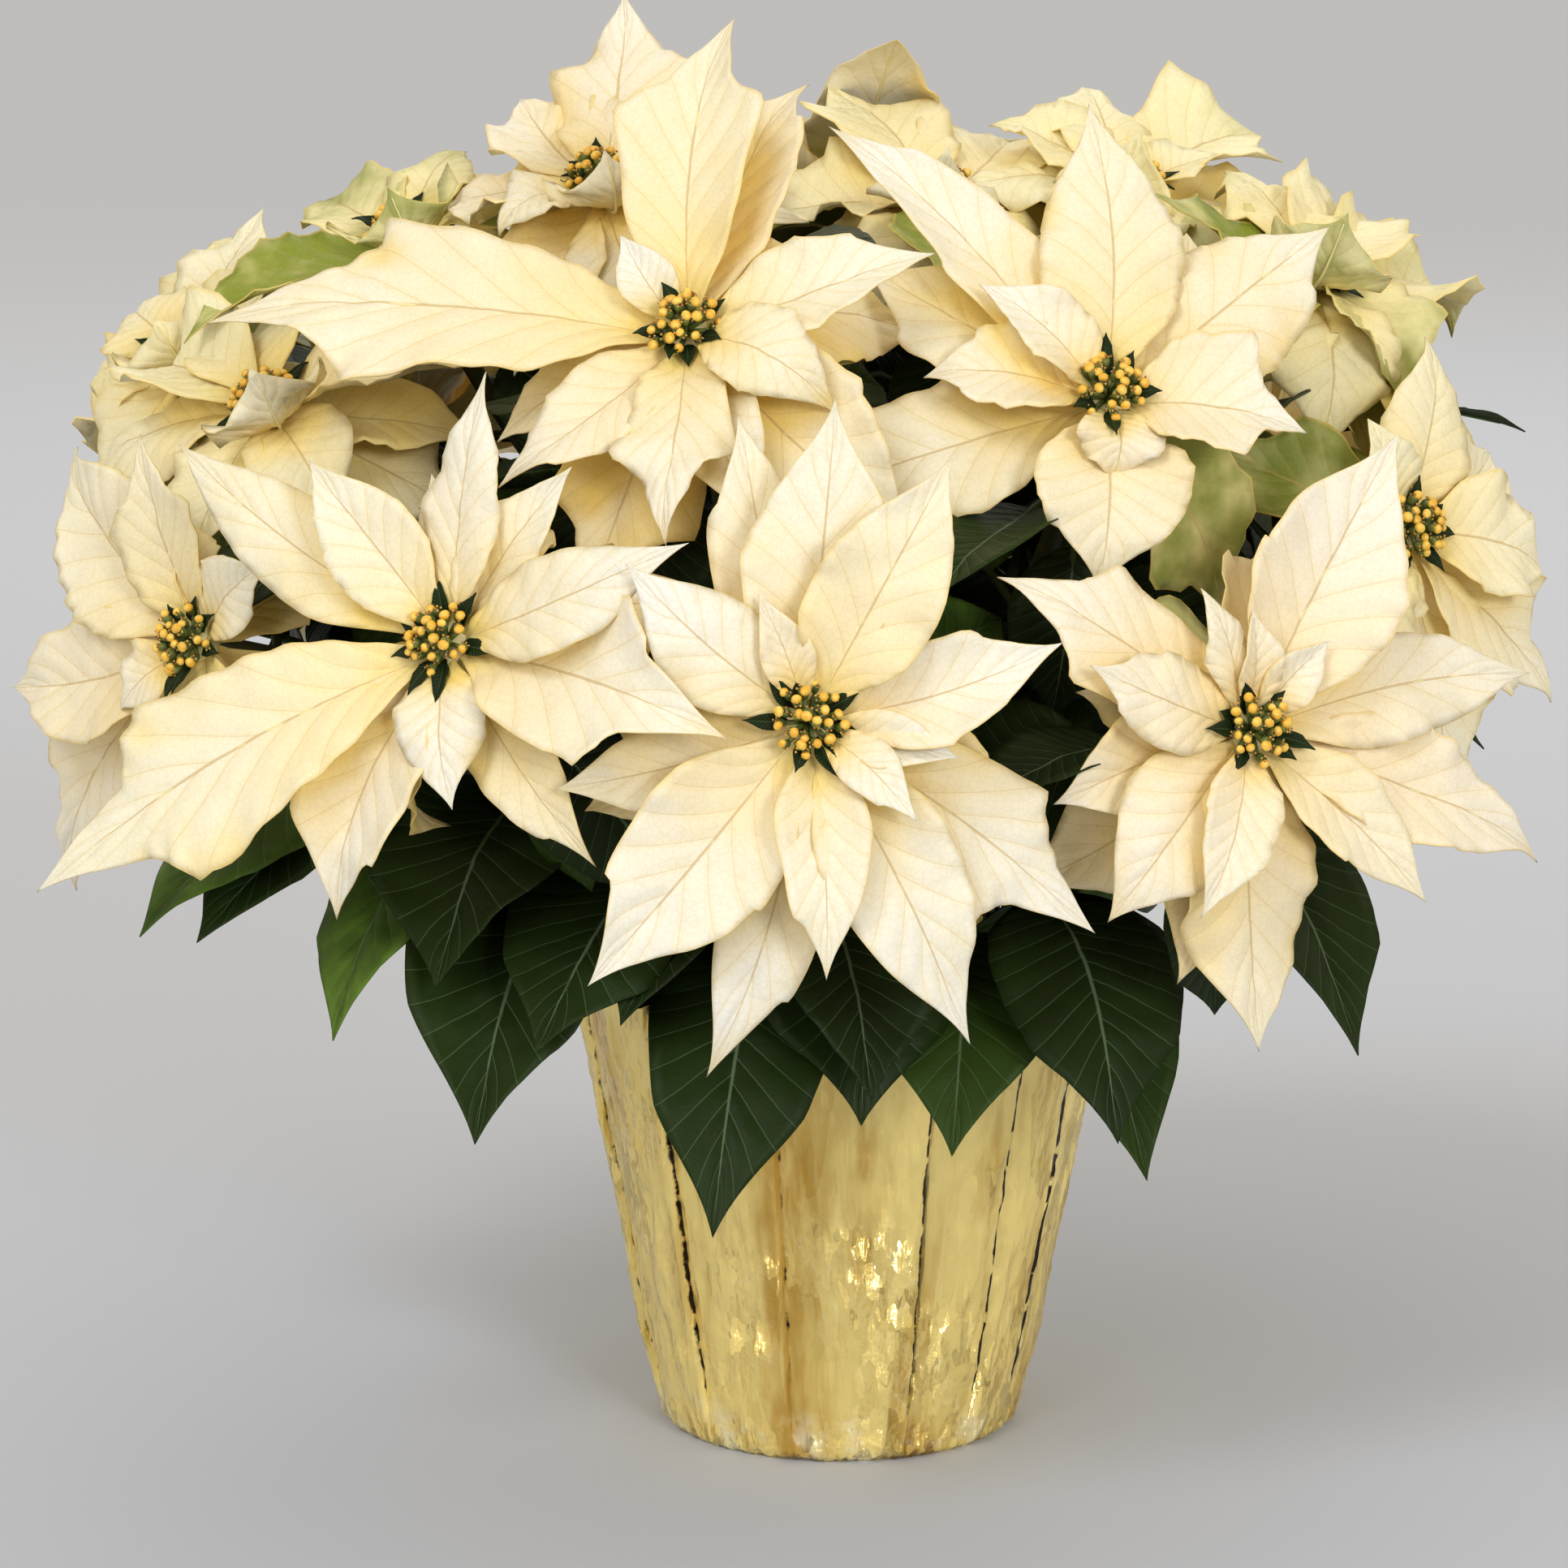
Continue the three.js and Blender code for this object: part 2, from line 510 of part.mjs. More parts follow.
/** A ball round the place where a node's own blades spring together and so cross each other. */
function rootBall(centre, radius) {
  return solidOf(new THREE.IcosahedronGeometry(radius, 1).translate(...centre));
}

/**
 * Grows one blade, bent or shortened just enough to clear the other nodes by the growing room, and
 * its own node's blades outside the root ball. Where it can't clear its own node it crosses it, and
 * where it can't clear the others it is left out, as null.
 */
function growClear(owner, bladeAt, ball) {
  let crossing = null;
  for (const share of SHORTENED) {
    if (crossing && share < LEAST_UNCROSSED) break;
    for (const [lift, clock, bend] of BENDS_CLEAR) {
      const blade = bladeAt({ lift, clock, bend, share });
      if (!isClear(bladeSolid(blade, GROWING_ROOM), (other) => other !== owner)) continue;
      const solid = bladeSolid(blade);
      if (isClear(solid.subtract(ball), (other) => other === owner)) return stand(owner, solid);
      crossing ??= solid;
    }
  }
  return crossing && stand(owner, crossing);
}

// ---------------------------------------------------------------- blooms

/** The rows of a bloom that grows by rule: an outer and an inner whorl, evenly spaced and scattered. */
function whorledRows(seed) {
  return WHORLS.flatMap(({ count, first, length, width, lift, bend, spread }, tier) =>
    Array.from({ length: count }, (_, i) => {
      const draw = (n) => scatter(seed * 31 + tier * 7 + i, n);
      return [
        first + seed * 23 + (360 / count) * i + 9 * draw(1),
        length * (1 + spread * draw(2)),
        width * (1 + spread * draw(3)),
        lift + 4 * draw(4) + WHORL_LAYER * (i % 2),
        bend + 14 * draw(5),
        draw(6) > 0.2 && tier === 0 ? 1 : 0,
      ];
    }),
  );
}

/** One bract of a bloom, from its row, as the blade that growClear bends. */
function bractBlade(bloom, row, seed) {
  const [clock, length, width, lift, bend, lobe] = row;
  const outline = length < SMALL_BRACT ? OUTLINE.small : lobe ? OUTLINE.lobed : OUTLINE.bract;
  const { lowest, highest } = ROOT_LAYER;
  const layer = THREE.MathUtils.clamp(lift / ROOT_LAYER.lift, lowest, highest);
  return (more) => {
    const c = radians(clock + more.clock);
    const l = radians(lift + more.lift);
    const out = bloom.up.clone().multiplyScalar(Math.cos(c)).addScaledVector(bloom.right, Math.sin(c));
    const start = out.clone().multiplyScalar(Math.cos(l)).addScaledVector(bloom.axis, Math.sin(l));
    const face = bloom.axis.clone().multiplyScalar(Math.cos(l)).addScaledVector(out, -Math.sin(l));
    const root = bloom.centre.clone().addScaledVector(bloom.axis, layer - KNOB.height / 2);
    root.addScaledVector(out, KNOB.rootAt);
    const size = { length: length * more.share, width, bend: bend + more.bend };
    return { root, start, face, outline, seed, ...size, ...BRACT_BLADE };
  };
}

/** The knob at the stem's end that every bract's root is sunk into. */
function bloomKnob(bloom) {
  const knob = new THREE.CylinderGeometry(KNOB.radius, KNOB.footRadius, KNOB.height, KNOB.sides);
  knob.translate(0, -KNOB.height / 2, 0);
  knob.applyQuaternion(new THREE.Quaternion().setFromUnitVectors(vector(0, 1, 0), bloom.axis));
  return solidOf(knob.translate(...bloom.centre));
}

/** The cyathia: a bunch of small cup-like true flowers, as two staggered rings of buds on one foot. */
function cyathiaCluster(bloom) {
  const { footRadius, radius, height, buds, budRise } = CLUSTER;
  const rings = CLUSTER_RINGS.map(([r, y]) => [r * radius, y * height]);
  const profile = [[0, 0], [footRadius, 0], ...rings].map(([r, y]) => new THREE.Vector2(r, y));
  const bunch = new THREE.LatheGeometry(profile, 2 * buds);
  const at = bunch.getAttribute("position");
  for (let i = 0; i < at.count; i++) {
    const [x, y, z] = [at.getX(i), at.getY(i), at.getZ(i)];
    const r = Math.hypot(x, z);
    if (y < height * 0.5 || r < 1) continue;
    const around = Math.round((Math.atan2(x, z) / (2 * Math.PI) + 1) * 2 * buds);
    const inner = y > height * 0.8 ? 1 : 0; // the inner ring's buds stand between the outer ones
    const out = (around + inner) % 2 ? 1 : -1;
    const push = 1 + (out * budRise) / r;
    const rise = out * budRise * (inner ? 0.8 : 0.4);
    at.setXYZ(i, x * push, y + rise, z * push);
  }
  const turn = new THREE.Quaternion().setFromUnitVectors(vector(0, 1, 0), bloom.axis);
  const seat = bloom.centre.clone().addScaledVector(bloom.axis, SEAT_GAP);
  return solidOf(bunch.applyQuaternion(turn).translate(...seat));
}

// ---------------------------------------------------------------- leaves

/** A leaf's blade with its stalk, from its root, bearing, lift, bend, length and width. */
function leafBlade({ root, bearing, lift, bend, length, width, seed }) {
  return (more) => {
    const l = radians(lift + more.lift);
    const out = heading(bearing + more.clock);
    const start = out.clone().multiplyScalar(Math.cos(l)).setZ(Math.sin(l));
    const face = out.clone().multiplyScalar(-Math.sin(l)).setZ(Math.cos(l));
    const size = { length: length * more.share, width: width * Math.sqrt(more.share) };
    const shape = { outline: OUTLINE.leaf, bend: bend + more.bend, ...size, ...LEAF_BLADE };
    return { root, start, face, seed, ...shape };
  };
}

/** A leaf that is given by where its tip comes: an arch over the straight line from root to tip. */
function hangingLeaf([name, up, tipAt, width, bend], seed) {
  const bloom = BLOOMS.find((one) => one.name === name);
  const root = onBranch(bloom, up);
  const chord = vector(...tipAt).sub(root);
  const slope = THREE.MathUtils.radToDeg(Math.asin(chord.z / chord.length()));
  const bearing = THREE.MathUtils.radToDeg(Math.atan2(chord.x, -chord.y));
  const length = chord.length() / Math.cos(radians(bend / 2));
  return { plant: bloom.plant, root, bearing, lift: slope + bend / 2, bend, length, width, seed };
}

/** A leaf that its branch has by rule, with a little scatter. */
function branchLeaf(bloom, row, seed) {
  const draw = (n) => scatter(seed, n);
  const bearing = THREE.MathUtils.radToDeg(Math.atan2(bloom.centre.x, -bloom.centre.y));
  return {
    plant: bloom.plant,
    root: onBranch(bloom, row.up + 0.05 * draw(1)),
    bearing: bearing + row.beside + 14 * draw(3),
    lift: row.lift + 8 * draw(2),
    bend: row.bend + 12 * draw(4),
    length: row.length * (1 + 0.1 * draw(5)),
    width: row.width * (1 + 0.1 * draw(6)),
    seed,
  };
}

/** All the leaves that a bloom's branch has by rule. */
function leavesByRule(bloom, index) {
  const hanging = HANGING_LEAVES.filter(([name]) => name === bloom.name).length;
  const rows = BRANCH_LEAVES.slice(0, Math.max(BRANCH_LEAVES.length - hanging, 1));
  return rows.map((row, i) => branchLeaf(bloom, row, index * 13 + i * 5 + 31));
}

// ---------------------------------------------------------------- assembly

const poinsettia = new THREE.Group();
const place = (name, solid, material) => poinsettia.add(meshOf(name, stand(name, solid), material));

for (const bloom of BLOOMS) {
  bloom.centre = vector(...bloom.at);
  bloom.axis = heading(...bloom.faces);
  bloom.up = vector(0, 0, 1).projectOnPlane(bloom.axis).normalize();
  bloom.right = new THREE.Vector3().crossVectors(bloom.up, bloom.axis);
  bloom.branch = branchCurve(bloom);
}

place("foil_cover", foilCover(), MATERIAL.foil);
place("nursery_pot", nurseryPot(), MATERIAL.pot);
place("growing_mix", growingMix(), MATERIAL.soil);

// Stems first, because nothing else can hold a bloom up, and then each bloom's cyathia.
const plantPieces = Object.fromEntries(
  Object.keys(PLANTS).map((plant) => {
    const { radius, topRadius, sides, foot, firstBranch, branchStep } = MAIN_STEM;
    const top = firstBranch + branchStep * (bloomsOf(plant).length - 0.5);
    const line = new THREE.LineCurve3(onMainStem(plant, foot), onMainStem(plant, top));
    return [plant, [stemAlong(line, 1, sides, radius, topRadius)]];
  }),
);
for (const bloom of BLOOMS) {
  const { steps, sides, rootRadius, radius } = BRANCH;
  plantPieces[bloom.plant].push(stemAlong(bloom.branch, steps, sides, rootRadius, radius));
}
for (const [plant, pieces] of Object.entries(plantPieces)) {
  pieces.forEach((piece) => stand("plant_" + plant, piece));
}
for (const bloom of BLOOMS) {
  place("cyathia_" + bloom.name, cyathiaCluster(bloom), MATERIAL.cyathia);
}

BLOOMS.forEach((bloom, index) => {
  const owner = "bracts_" + bloom.name;
  const rows = BRACTS[bloom.name] ?? whorledRows(index);
  const ball = rootBall(bloom.centre, ROOT_BALL.bracts);
  const bracts = rows.map((row, i) => growClear(owner, bractBlade(bloom, row, index * 17 + i), ball));
  const whole = fused([stand(owner, bloomKnob(bloom)), ...bracts.filter(Boolean)]);
  poinsettia.add(meshOf(owner, whole, MATERIAL.bract));
});

const leaves = [...HANGING_LEAVES.map(hangingLeaf), ...BLOOMS.flatMap(leavesByRule)];
for (const leaf of leaves) {
  const grown = growClear("plant_" + leaf.plant, leafBlade(leaf), rootBall(leaf.root, ROOT_BALL.leaves));
  if (grown) plantPieces[leaf.plant].push(grown);
}
for (const [plant, pieces] of Object.entries(plantPieces)) {
  poinsettia.add(meshOf("plant_" + plant, fused(pieces), MATERIAL.leafy));
}
export default poinsettia;
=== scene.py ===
"""A cream poinsettia in full bloom, in its pleated gold foil cover: the finished pieces.

Each piece stands where its plain solid does and grows by the same rules. Sizes and places are in
millimetres, and turn to metres when a piece is closed. Z is up, and the plant's front faces -Y.
"""
import bisect
import itertools
import math
from contextlib import contextmanager

import bmesh
import bpy
from mathutils import Matrix, Vector, noise
from mathutils.bvhtree import BVHTree
from mathutils.kdtree import KDTree


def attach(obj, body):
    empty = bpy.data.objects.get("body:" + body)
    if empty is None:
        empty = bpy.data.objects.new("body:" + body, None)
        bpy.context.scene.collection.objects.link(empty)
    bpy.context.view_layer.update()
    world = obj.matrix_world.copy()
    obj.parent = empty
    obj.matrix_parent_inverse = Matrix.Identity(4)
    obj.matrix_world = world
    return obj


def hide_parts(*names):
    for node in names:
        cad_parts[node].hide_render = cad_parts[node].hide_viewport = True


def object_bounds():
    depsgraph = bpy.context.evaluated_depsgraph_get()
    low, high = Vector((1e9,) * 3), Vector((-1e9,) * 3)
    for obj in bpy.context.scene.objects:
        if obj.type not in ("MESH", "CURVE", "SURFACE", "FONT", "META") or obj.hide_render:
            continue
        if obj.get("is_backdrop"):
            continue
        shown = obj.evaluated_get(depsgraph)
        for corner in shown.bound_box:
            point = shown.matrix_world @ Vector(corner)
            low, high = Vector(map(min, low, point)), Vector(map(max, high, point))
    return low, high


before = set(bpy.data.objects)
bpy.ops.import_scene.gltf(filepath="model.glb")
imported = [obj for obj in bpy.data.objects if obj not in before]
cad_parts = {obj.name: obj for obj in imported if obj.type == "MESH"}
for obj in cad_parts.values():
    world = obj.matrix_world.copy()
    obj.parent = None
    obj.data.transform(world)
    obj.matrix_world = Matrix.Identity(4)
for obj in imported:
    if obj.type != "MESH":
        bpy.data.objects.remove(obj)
solids_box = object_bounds()

# ---------------------------------------------------------------- sizes

METRE = 1000.0  # millimetres
SEAT_GAP = 0.3  # left between pieces that rest on each other
WELD = {"blade": 0.01, "round": 0.005}  # corners nearer than this become one
UP = Vector((0, 0, 1))
HANDS = (-1, 1)  # a blade's left and right

COVER = {
    "height": 150, "rim": 85, "foot": 58, "corner": 4, "wall": 0.5, "pleat_depth": 2.6, "fold_inset": 0.9,
    "ruffle": 2.0, "ruffle_height": 4,
}
# Where each pleat of the foil folds over its neighbour, in degrees round the pot from the front.
FOLDS = [-76, -45, -15, 21, 43, 63, 90, 117, 143, 170, 197, 224, 252, 284]
# The share of a pleat where the painted shadow line under its fold starts: three folds stand open, one lies
# close, and the others lie like CLOSED_EDGE, where the sheet also starts to sink under its neighbour.
# EDGE_RAMP is how much of the pleat the painted shadow takes to grow dark, and the sheet to sink.
FOLD_SHADOW_START = {-15: 0.984, 21: 0.938, 43: 0.915, 63: 0.88}
CLOSED_EDGE = 0.972
EDGE_RAMP = 0.028
FOIL = {
    "rows": 170, "columns": 32, "crowding": 1.6, "full_depth": 30, "spread": 70, "squash": 0.4,
    "relief": 0.8,
}
# How the pleats lean, in degrees: most at the foot, with wavers up their height (how far, and how fast).
LEAN = {"foot": 4, "wavers": [(0.8, 0.08), (0.45, 0.4)]}
# The foil's crumples: fineness, depth, where their pattern starts, and whether they fold sharply.
CRUMPLES = [
    (0.09, 1.2, (0, 0, 0), False), (0.17, -1.8, (9, 0, 0), True), (0.42, 1.0, (0, 0, 0), True),
    (0.8, -0.6, (0, 5, 0), True),
]
STREAK = {"spread": 12, "squash": 0.01, "depth": 0.8}
PUCKER = {"spread": 22, "squash": 0.2, "depth": 1.8, "height": 18, "from": 40, "over": 12}
POT = {
    "rim": 79.5, "foot": 52.5, "top": 143, "bead": 8, "bead_step": 1.6, "wall": 1.8, "raised": 0.4,
    "arch": 1, "foot_round": 2, "bead_round": 0.8, "lip": 0.9, "lip_inside": 0.6, "sides": 72,
}
DRAIN_HOLE = {"radius": 5, "ring": 36, "count": 3, "sides": 20, "depth": 12}
SOIL = {
    "top": 124, "floor": 3.3, "clear": 0.5, "crumb": 1.8, "crumb_pitch": 5, "columns": 150, "rows": 70,
    "reach": 70, "flecks_up": 1.6, "lumps": [(1.3, 0.35, 0), (0.9, 0.8, 4)],
}
# What lies on the mix: its material's place in the piece, how many, and how large.
FLECKS = [(1, 60, 1.5), (2, 70, 2.2)]
MAIN_STEM = {"root": 5.5, "top": 4.95, "ring": 24, "foot": 84, "first_branch": 146, "branch_step": 9}
BRANCH = {"root": 3.9, "end": 2.9, "steps": 4, "outward": 0.2, "upward": 0.26, "straight_end": 0.3}
LINE_STEPS = 200  # how finely a branch is measured
KNOB = {"radius": 6.5, "foot": 4.55, "height": 7, "root_at": 3}
ROOT_LAYER = {"lift": 14, "lowest": -1, "highest": 1.6}
GOLDEN_TURN = 137.5  # degrees from each leaf or flower to the next
CLUSTER = {"radius": 11, "height": 7.5, "flowers": 22, "leaflets": 7, "leaflet": 13, "leaflet_width": 4.5}
# One true flower: its cup's radii and heights, its gland's place and shape, and its stamens.
CYATHIUM = {
    "cup": [(0.7, 0), (1.6, 1.5), (1.85, 3.1), (1.6, 4.4), (1.2, 4.9), (0.8, 4.3)], "sides": 9, "size": 0.8,
    "gland_at": (1.3, 0, 4.9), "gland": (1.75, 2.0, 1.6, 1), "stamens": 3, "stamen": 0.5,
    "stamens_at": (-1.2, 5.2), "stamens_ring": 0.9,
}

# Each plant's compass bearing round the pot: 0 is the front, 90 the right-hand side.
PLANTS = {"left": -62, "right": 58, "back": 178}

# ---------------------------------------------------------------- how the blooms grow

# A bract's row: clock, length, width, lift, bend, lobe.
BRACTS = {
    "top_left": [
        (357, 112, 38, 15, 15, 1), (8, 104, 36, 2, 8, 0), (67, 76, 29, 15, 20, 0),
        (114, 78, 26, 40, 95, 0), (152, 72, 26, 8, 20, 0), (176, 76, 30, 20, 30, 1),
        (219, 72, 28, 15, 20, 0), (273, 156, 48, 6, 14, 1), (320, 36, 16, 30, 25, 0),
        (124, 96, 42, -6, 35, 0), (250, 70, 30, -6, 30, 0),
    ],
    "top_right": [
        (5, 94, 41, 20, 15, 0), (33, 82, 30, 0, 10, 0), (56, 94, 44, 15, 15, 0), (106, 62, 37, 20, 35, 1),
        (190, 60, 43, 8, 40, 0), (186, 44, 24, 45, 110, 0), (288, 60, 28, 20, 55, 0),
        (327, 122, 27, 4, 4, 0), (314, 52, 22, 35, 40, 0), (266, 94, 42, -6, 20, 0),
        (303, 88, 36, -3, 18, 0),
    ],
    "left": [
        (296, 124, 28, 10, 15, 0), (312, 72, 27, 26, 22, 0), (345, 48, 18, 28, 10, 1),
        (0, 78, 24, 20, 5, 0), (32, 62, 22, 18, 20, 0), (68, 92, 28, 20, 20, 0), (101, 98, 42, 12, 12, 1),
        (138, 78, 24, -2, 30, 0), (165, 55, 27, 30, 60, 0), (200, 92, 36, 8, 35, 0),
        (234, 154, 48, 10, 25, 1),
    ],
    "centre": [
        (5, 90, 40, 12, 15, 0), (348, 92, 30, -4, 8, 0), (29, 86, 34, 20, 20, 0), (73, 74, 27, 15, 25, 0),
        (125, 106, 36, -6, 25, 1), (153, 110, 36, 0, 25, 0), (176, 74, 24, 12, 20, 0),
        (196, 108, 28, -6, 15, 0), (220, 96, 40, 8, 25, 0), (256, 74, 26, -4, 5, 0),
        (310, 68, 29, 25, 25, 0), (338, 38, 14, 32, 20, 0), (134, 44, 15, 38, 40, 0),
        (104, 42, 15, 34, 30, 0),
    ],
    "right": [
        (36, 100, 44, 15, 15, 0), (308, 86, 34, 4, 10, 1), (292, 60, 26, 25, 30, 0),
        (332, 46, 15, 30, 20, 0), (0, 34, 15, 38, 30, 0), (48, 34, 14, 36, 30, 0),
        (85, 104, 31, 12, 15, 0), (112, 118, 34, 2, 15, 0), (136, 76, 25, 10, 20, 0),
        (177, 96, 42, -2, 30, 0), (206, 62, 23, 27, 50, 0), (224, 76, 36, 14, 50, 0),
        (256, 60, 30, -4, 25, 0),
    ],
    "far_left": [
        (304, 94, 44, 10, 20, 0), (256, 98, 38, 5, 20, 0), (226, 140, 38, -5, 25, 1),
        (52, 42, 24, 25, 20, 0), (228, 36, 20, 30, 40, 0), (322, 48, 24, 0, 20, 0),
        (190, 56, 26, 0, 30, 0), (142, 50, 24, 0, 40, 0),
    ],
    "upper_left": [
        (260, 86, 38, 10, 50, 0), (288, 84, 40, 20, 75, 0), (128, 56, 32, 10, 60, 0),
        (60, 70, 36, 10, 40, 0), (322, 64, 38, 38, 90, 0), (188, 56, 32, 5, 45, 0),
        (125, 54, 38, 12, -108, 0),
    ],
    "outer_left": [
        (264, 56, 34, 10, 35, 0), (348, 66, 34, 23, 40, 0), (322, 78, 36, 13, 20, 1),
        (292, 50, 32, 25, 55, 0), (242, 60, 34, 0, 45, 0), (40, 54, 30, 28, 40, 0),
        (110, 64, 34, 0, 40, 0), (180, 62, 34, 0, 45, 0), (116, 54, 38, 12, -108, 0),
    ],
    "crown_left": [
        (292, 62, 34, 20, 45, 0), (350, 52, 30, 38, 60, 0), (38, 54, 30, 23, 45, 0),
        (100, 66, 36, 5, 45, 0), (170, 70, 38, 0, 50, 0), (235, 66, 36, 5, 45, 0),
        (126, 54, 38, 12, -108, 0),
    ],
    "crown": [
        (356, 72, 40, 33, 10, 1), (320, 58, 38, 30, 25, 0), (280, 62, 36, 5, 35, 0),
        (14, 74, 36, 16, 20, 0), (228, 44, 26, 35, 70, 0), (90, 66, 34, 5, 30, 0), (150, 66, 34, 0, 45, 0),
        (200, 66, 34, -4, 50, 0), (159, 54, 38, 12, -108, 0),
    ],
    "crown_mid": [
        (348, 78, 44, 28, 50, 1), (40, 70, 42, 23, 40, 0), (296, 62, 36, 0, 30, 0),
        (160, 60, 38, 10, 60, 0), (100, 66, 36, 5, 40, 0), (220, 68, 38, 0, 45, 0),
        (258, 60, 32, -5, 30, 0), (206, 54, 38, 12, -108, 0),
    ],
    "crown_right": [
        (68, 74, 40, 15, 20, 1), (12, 54, 34, 33, 30, 0), (104, 76, 38, 0, 35, 0), (288, 58, 34, 5, 35, 0),
        (80, 34, 20, 38, 40, 0), (328, 54, 32, 18, 30, 0), (160, 72, 40, 0, 45, 0),
        (230, 66, 36, 0, 45, 0), (219, 54, 38, 12, -108, 0),
    ],
    "upper_right": [
        (98, 78, 46, 8, 30, 0), (56, 62, 40, 15, 35, 0), (12, 62, 38, 18, 45, 0), (148, 118, 56, 6, 70, 0),
        (202, 86, 46, 10, 75, 0), (176, 62, 38, 22, 80, 0), (250, 62, 36, 0, 45, 0),
        (310, 56, 34, 8, 40, 0), (235, 54, 38, 12, -108, 0),
    ],
    "far_right": [
        (136, 80, 40, 5, 15, 1), (24, 62, 32, 15, 15, 0), (108, 64, 36, 10, 30, 0),
        (336, 36, 20, 30, 20, 0), (220, 40, 24, 10, 20, 0), (172, 88, 38, -2, 20, 0),
        (74, 66, 32, 0, 20, 0), (260, 56, 28, 0, 30, 0),
    ],
}

# A bloom's row: name, plant, place, the bearing and rise it faces, how green-yellow it still is and
# how pink it blushes. Those with no bract rows grow two whorls by rule.
BLOOMS = [
    ("centre", "left", (-11, -190, 263), (0, 16), 0.0, 0.25),
    ("top_left", "left", (-47, -100, 364), (-15, 42), 0.0, 0.1),
    ("top_right", "right", (78, -105, 345), (15, 40), 0.0, 0.1),
    ("left", "left", (-116, -150, 279), (-30, 24), 0.0, 0.1),
    ("right", "right", (118, -150, 253), (28, 18), 0.0, 0.55),
    ("far_left", "left", (-199, -60, 264), (-42, 12), 0.1, 0.2),
    ("upper_left", "left", (-180, -10, 331), (-35, 52), 0.45, 0.1),
    ("outer_left", "back", (-211, 56, 338), (-42, 50), 0.45, 0.1),
    ("crown_left", "back", (-140, 46, 378), (-40, 60), 0.85, 0.0),
    ("crown", "back", (-76, 10, 398), (-15, 66), 0.1, 0.2),
    ("crown_mid", "back", (32, 36, 391), (20, 67), 0.5, 0.05),
    ("crown_right", "right", (93, 50, 394), (30, 67), 0.5, 0.0),
    ("upper_right", "right", (148, 5, 370), (45, 58), 0.65, 0.0),
    ("far_right", "right", (174, -50, 298), (40, 20), 0.3, 0.1),
    ("back_left", "back", (-146, 152, 292), (-142, 24), 0.1, 0.2),
    ("back_crown", "back", (8, 138, 376), (176, 50), 0.1, 0.1),
    ("back_right", "right", (148, 142, 300), (134, 26), 0.2, 0.1),
    ("back_centre", "back", (4, 204, 272), (180, 18), 0.05, 0.2),
]
WHORLS = [
    {"count": 6, "first": 12, "length": 96, "width": 38, "lift": 6, "bend": 26, "spread": 0.16},
    {"count": 3, "first": 44, "length": 56, "width": 25, "lift": 32, "bend": 36, "spread": 0.12},
]
WHORL_LAYER = 10

# A hanging leaf's row: the bloom whose branch it springs from, how far up it, where the tip comes,
# the width and the bend.
HANGING_LEAVES = [
    ("far_left", 0.5, (-193, -120, 182), 48, 50), ("far_left", 0.42, (-156, -114, 152), 46, 75),
    ("far_left", 0.34, (-125, -142, 153), 68, 70), ("far_left", 0.22, (-109, -150, 128), 64, 75),
    ("left", 0.24, (-88, -150, 160), 56, 70), ("centre", 0.16, (-39, -165, 104), 54, 85),
    ("centre", 0.32, (-67, -152, 167), 40, 50), ("centre", 0.24, (7, -150, 124), 64, 75),
    ("centre", 0.42, (8, -166, 146), 50, 60), ("right", 0.18, (32, -148, 126), 54, 75),
    ("right", 0.3, (80, -152, 129), 56, 80), ("far_right", 0.2, (88, -126, 118), 46, 80),
    ("far_right", 0.42, (154, -120, 148), 46, 60), ("far_right", 0.55, (214, -60, 219), 44, 40),
    ("far_right", 0.7, (211, -16, 273), 42, 30), ("upper_right", 0.62, (232, 20, 316), 28, 30),
    ("far_left", 0.5, (-242, -96, 208), 50, 60), ("far_left", 0.7, (-246, -20, 262), 44, 50),
    ("outer_left", 0.66, (-226, 82, 354), 50, 40), ("top_left", 0.6, (-130, -60, 307), 58, 50),
    ("top_right", 0.55, (52, -80, 262), 58, 55), ("top_right", 0.42, (75, -105, 205), 48, 50),
    ("crown", 0.8, (8, -36, 392), 42, 40),
]
# The leaves that a branch has by rule: how far up it they spring, where they point beside its own
# bearing, and their length, width, lift and bend.
BRANCH_LEAVES = [
    {"up": 0.82, "beside": -84, "length": 88, "width": 42, "lift": 14, "bend": 34},
    {"up": 0.38, "beside": -34, "length": 150, "width": 60, "lift": 14, "bend": 80},
    {"up": 0.62, "beside": 46, "length": 120, "width": 54, "lift": 14, "bend": 54},
]

# What a blade may have taken to grow clear of its neighbours: more lift, clock and bend, at these
# shares of its length.
BENDS_CLEAR = [
    (0, 0, 0), (5, 0, 10), (-5, 0, -10), (0, 5, 0), (0, -5, 0), (8, 0, 8), (-8, 0, -8), (11, 0, 22),
    (-11, 0, -22), (6, 6, 8), (6, -6, 8), (-6, 6, -8), (-6, -6, -8), (14, 0, 14), (-14, 0, -14),
    (17, 0, 34), (12, 9, 18), (12, -9, 18), (-12, 9, -14), (-12, -9, -14), (20, 0, 20), (-20, 0, -20),
    (0, 14, 0), (0, -14, 0), (16, 14, 20), (16, -14, 20), (-16, 14, -16), (-16, -14, -16),
]
SHORTENED = [1, 0.9, 0.8, 0.7, 0.6]
TIP_MATCH = 0.02

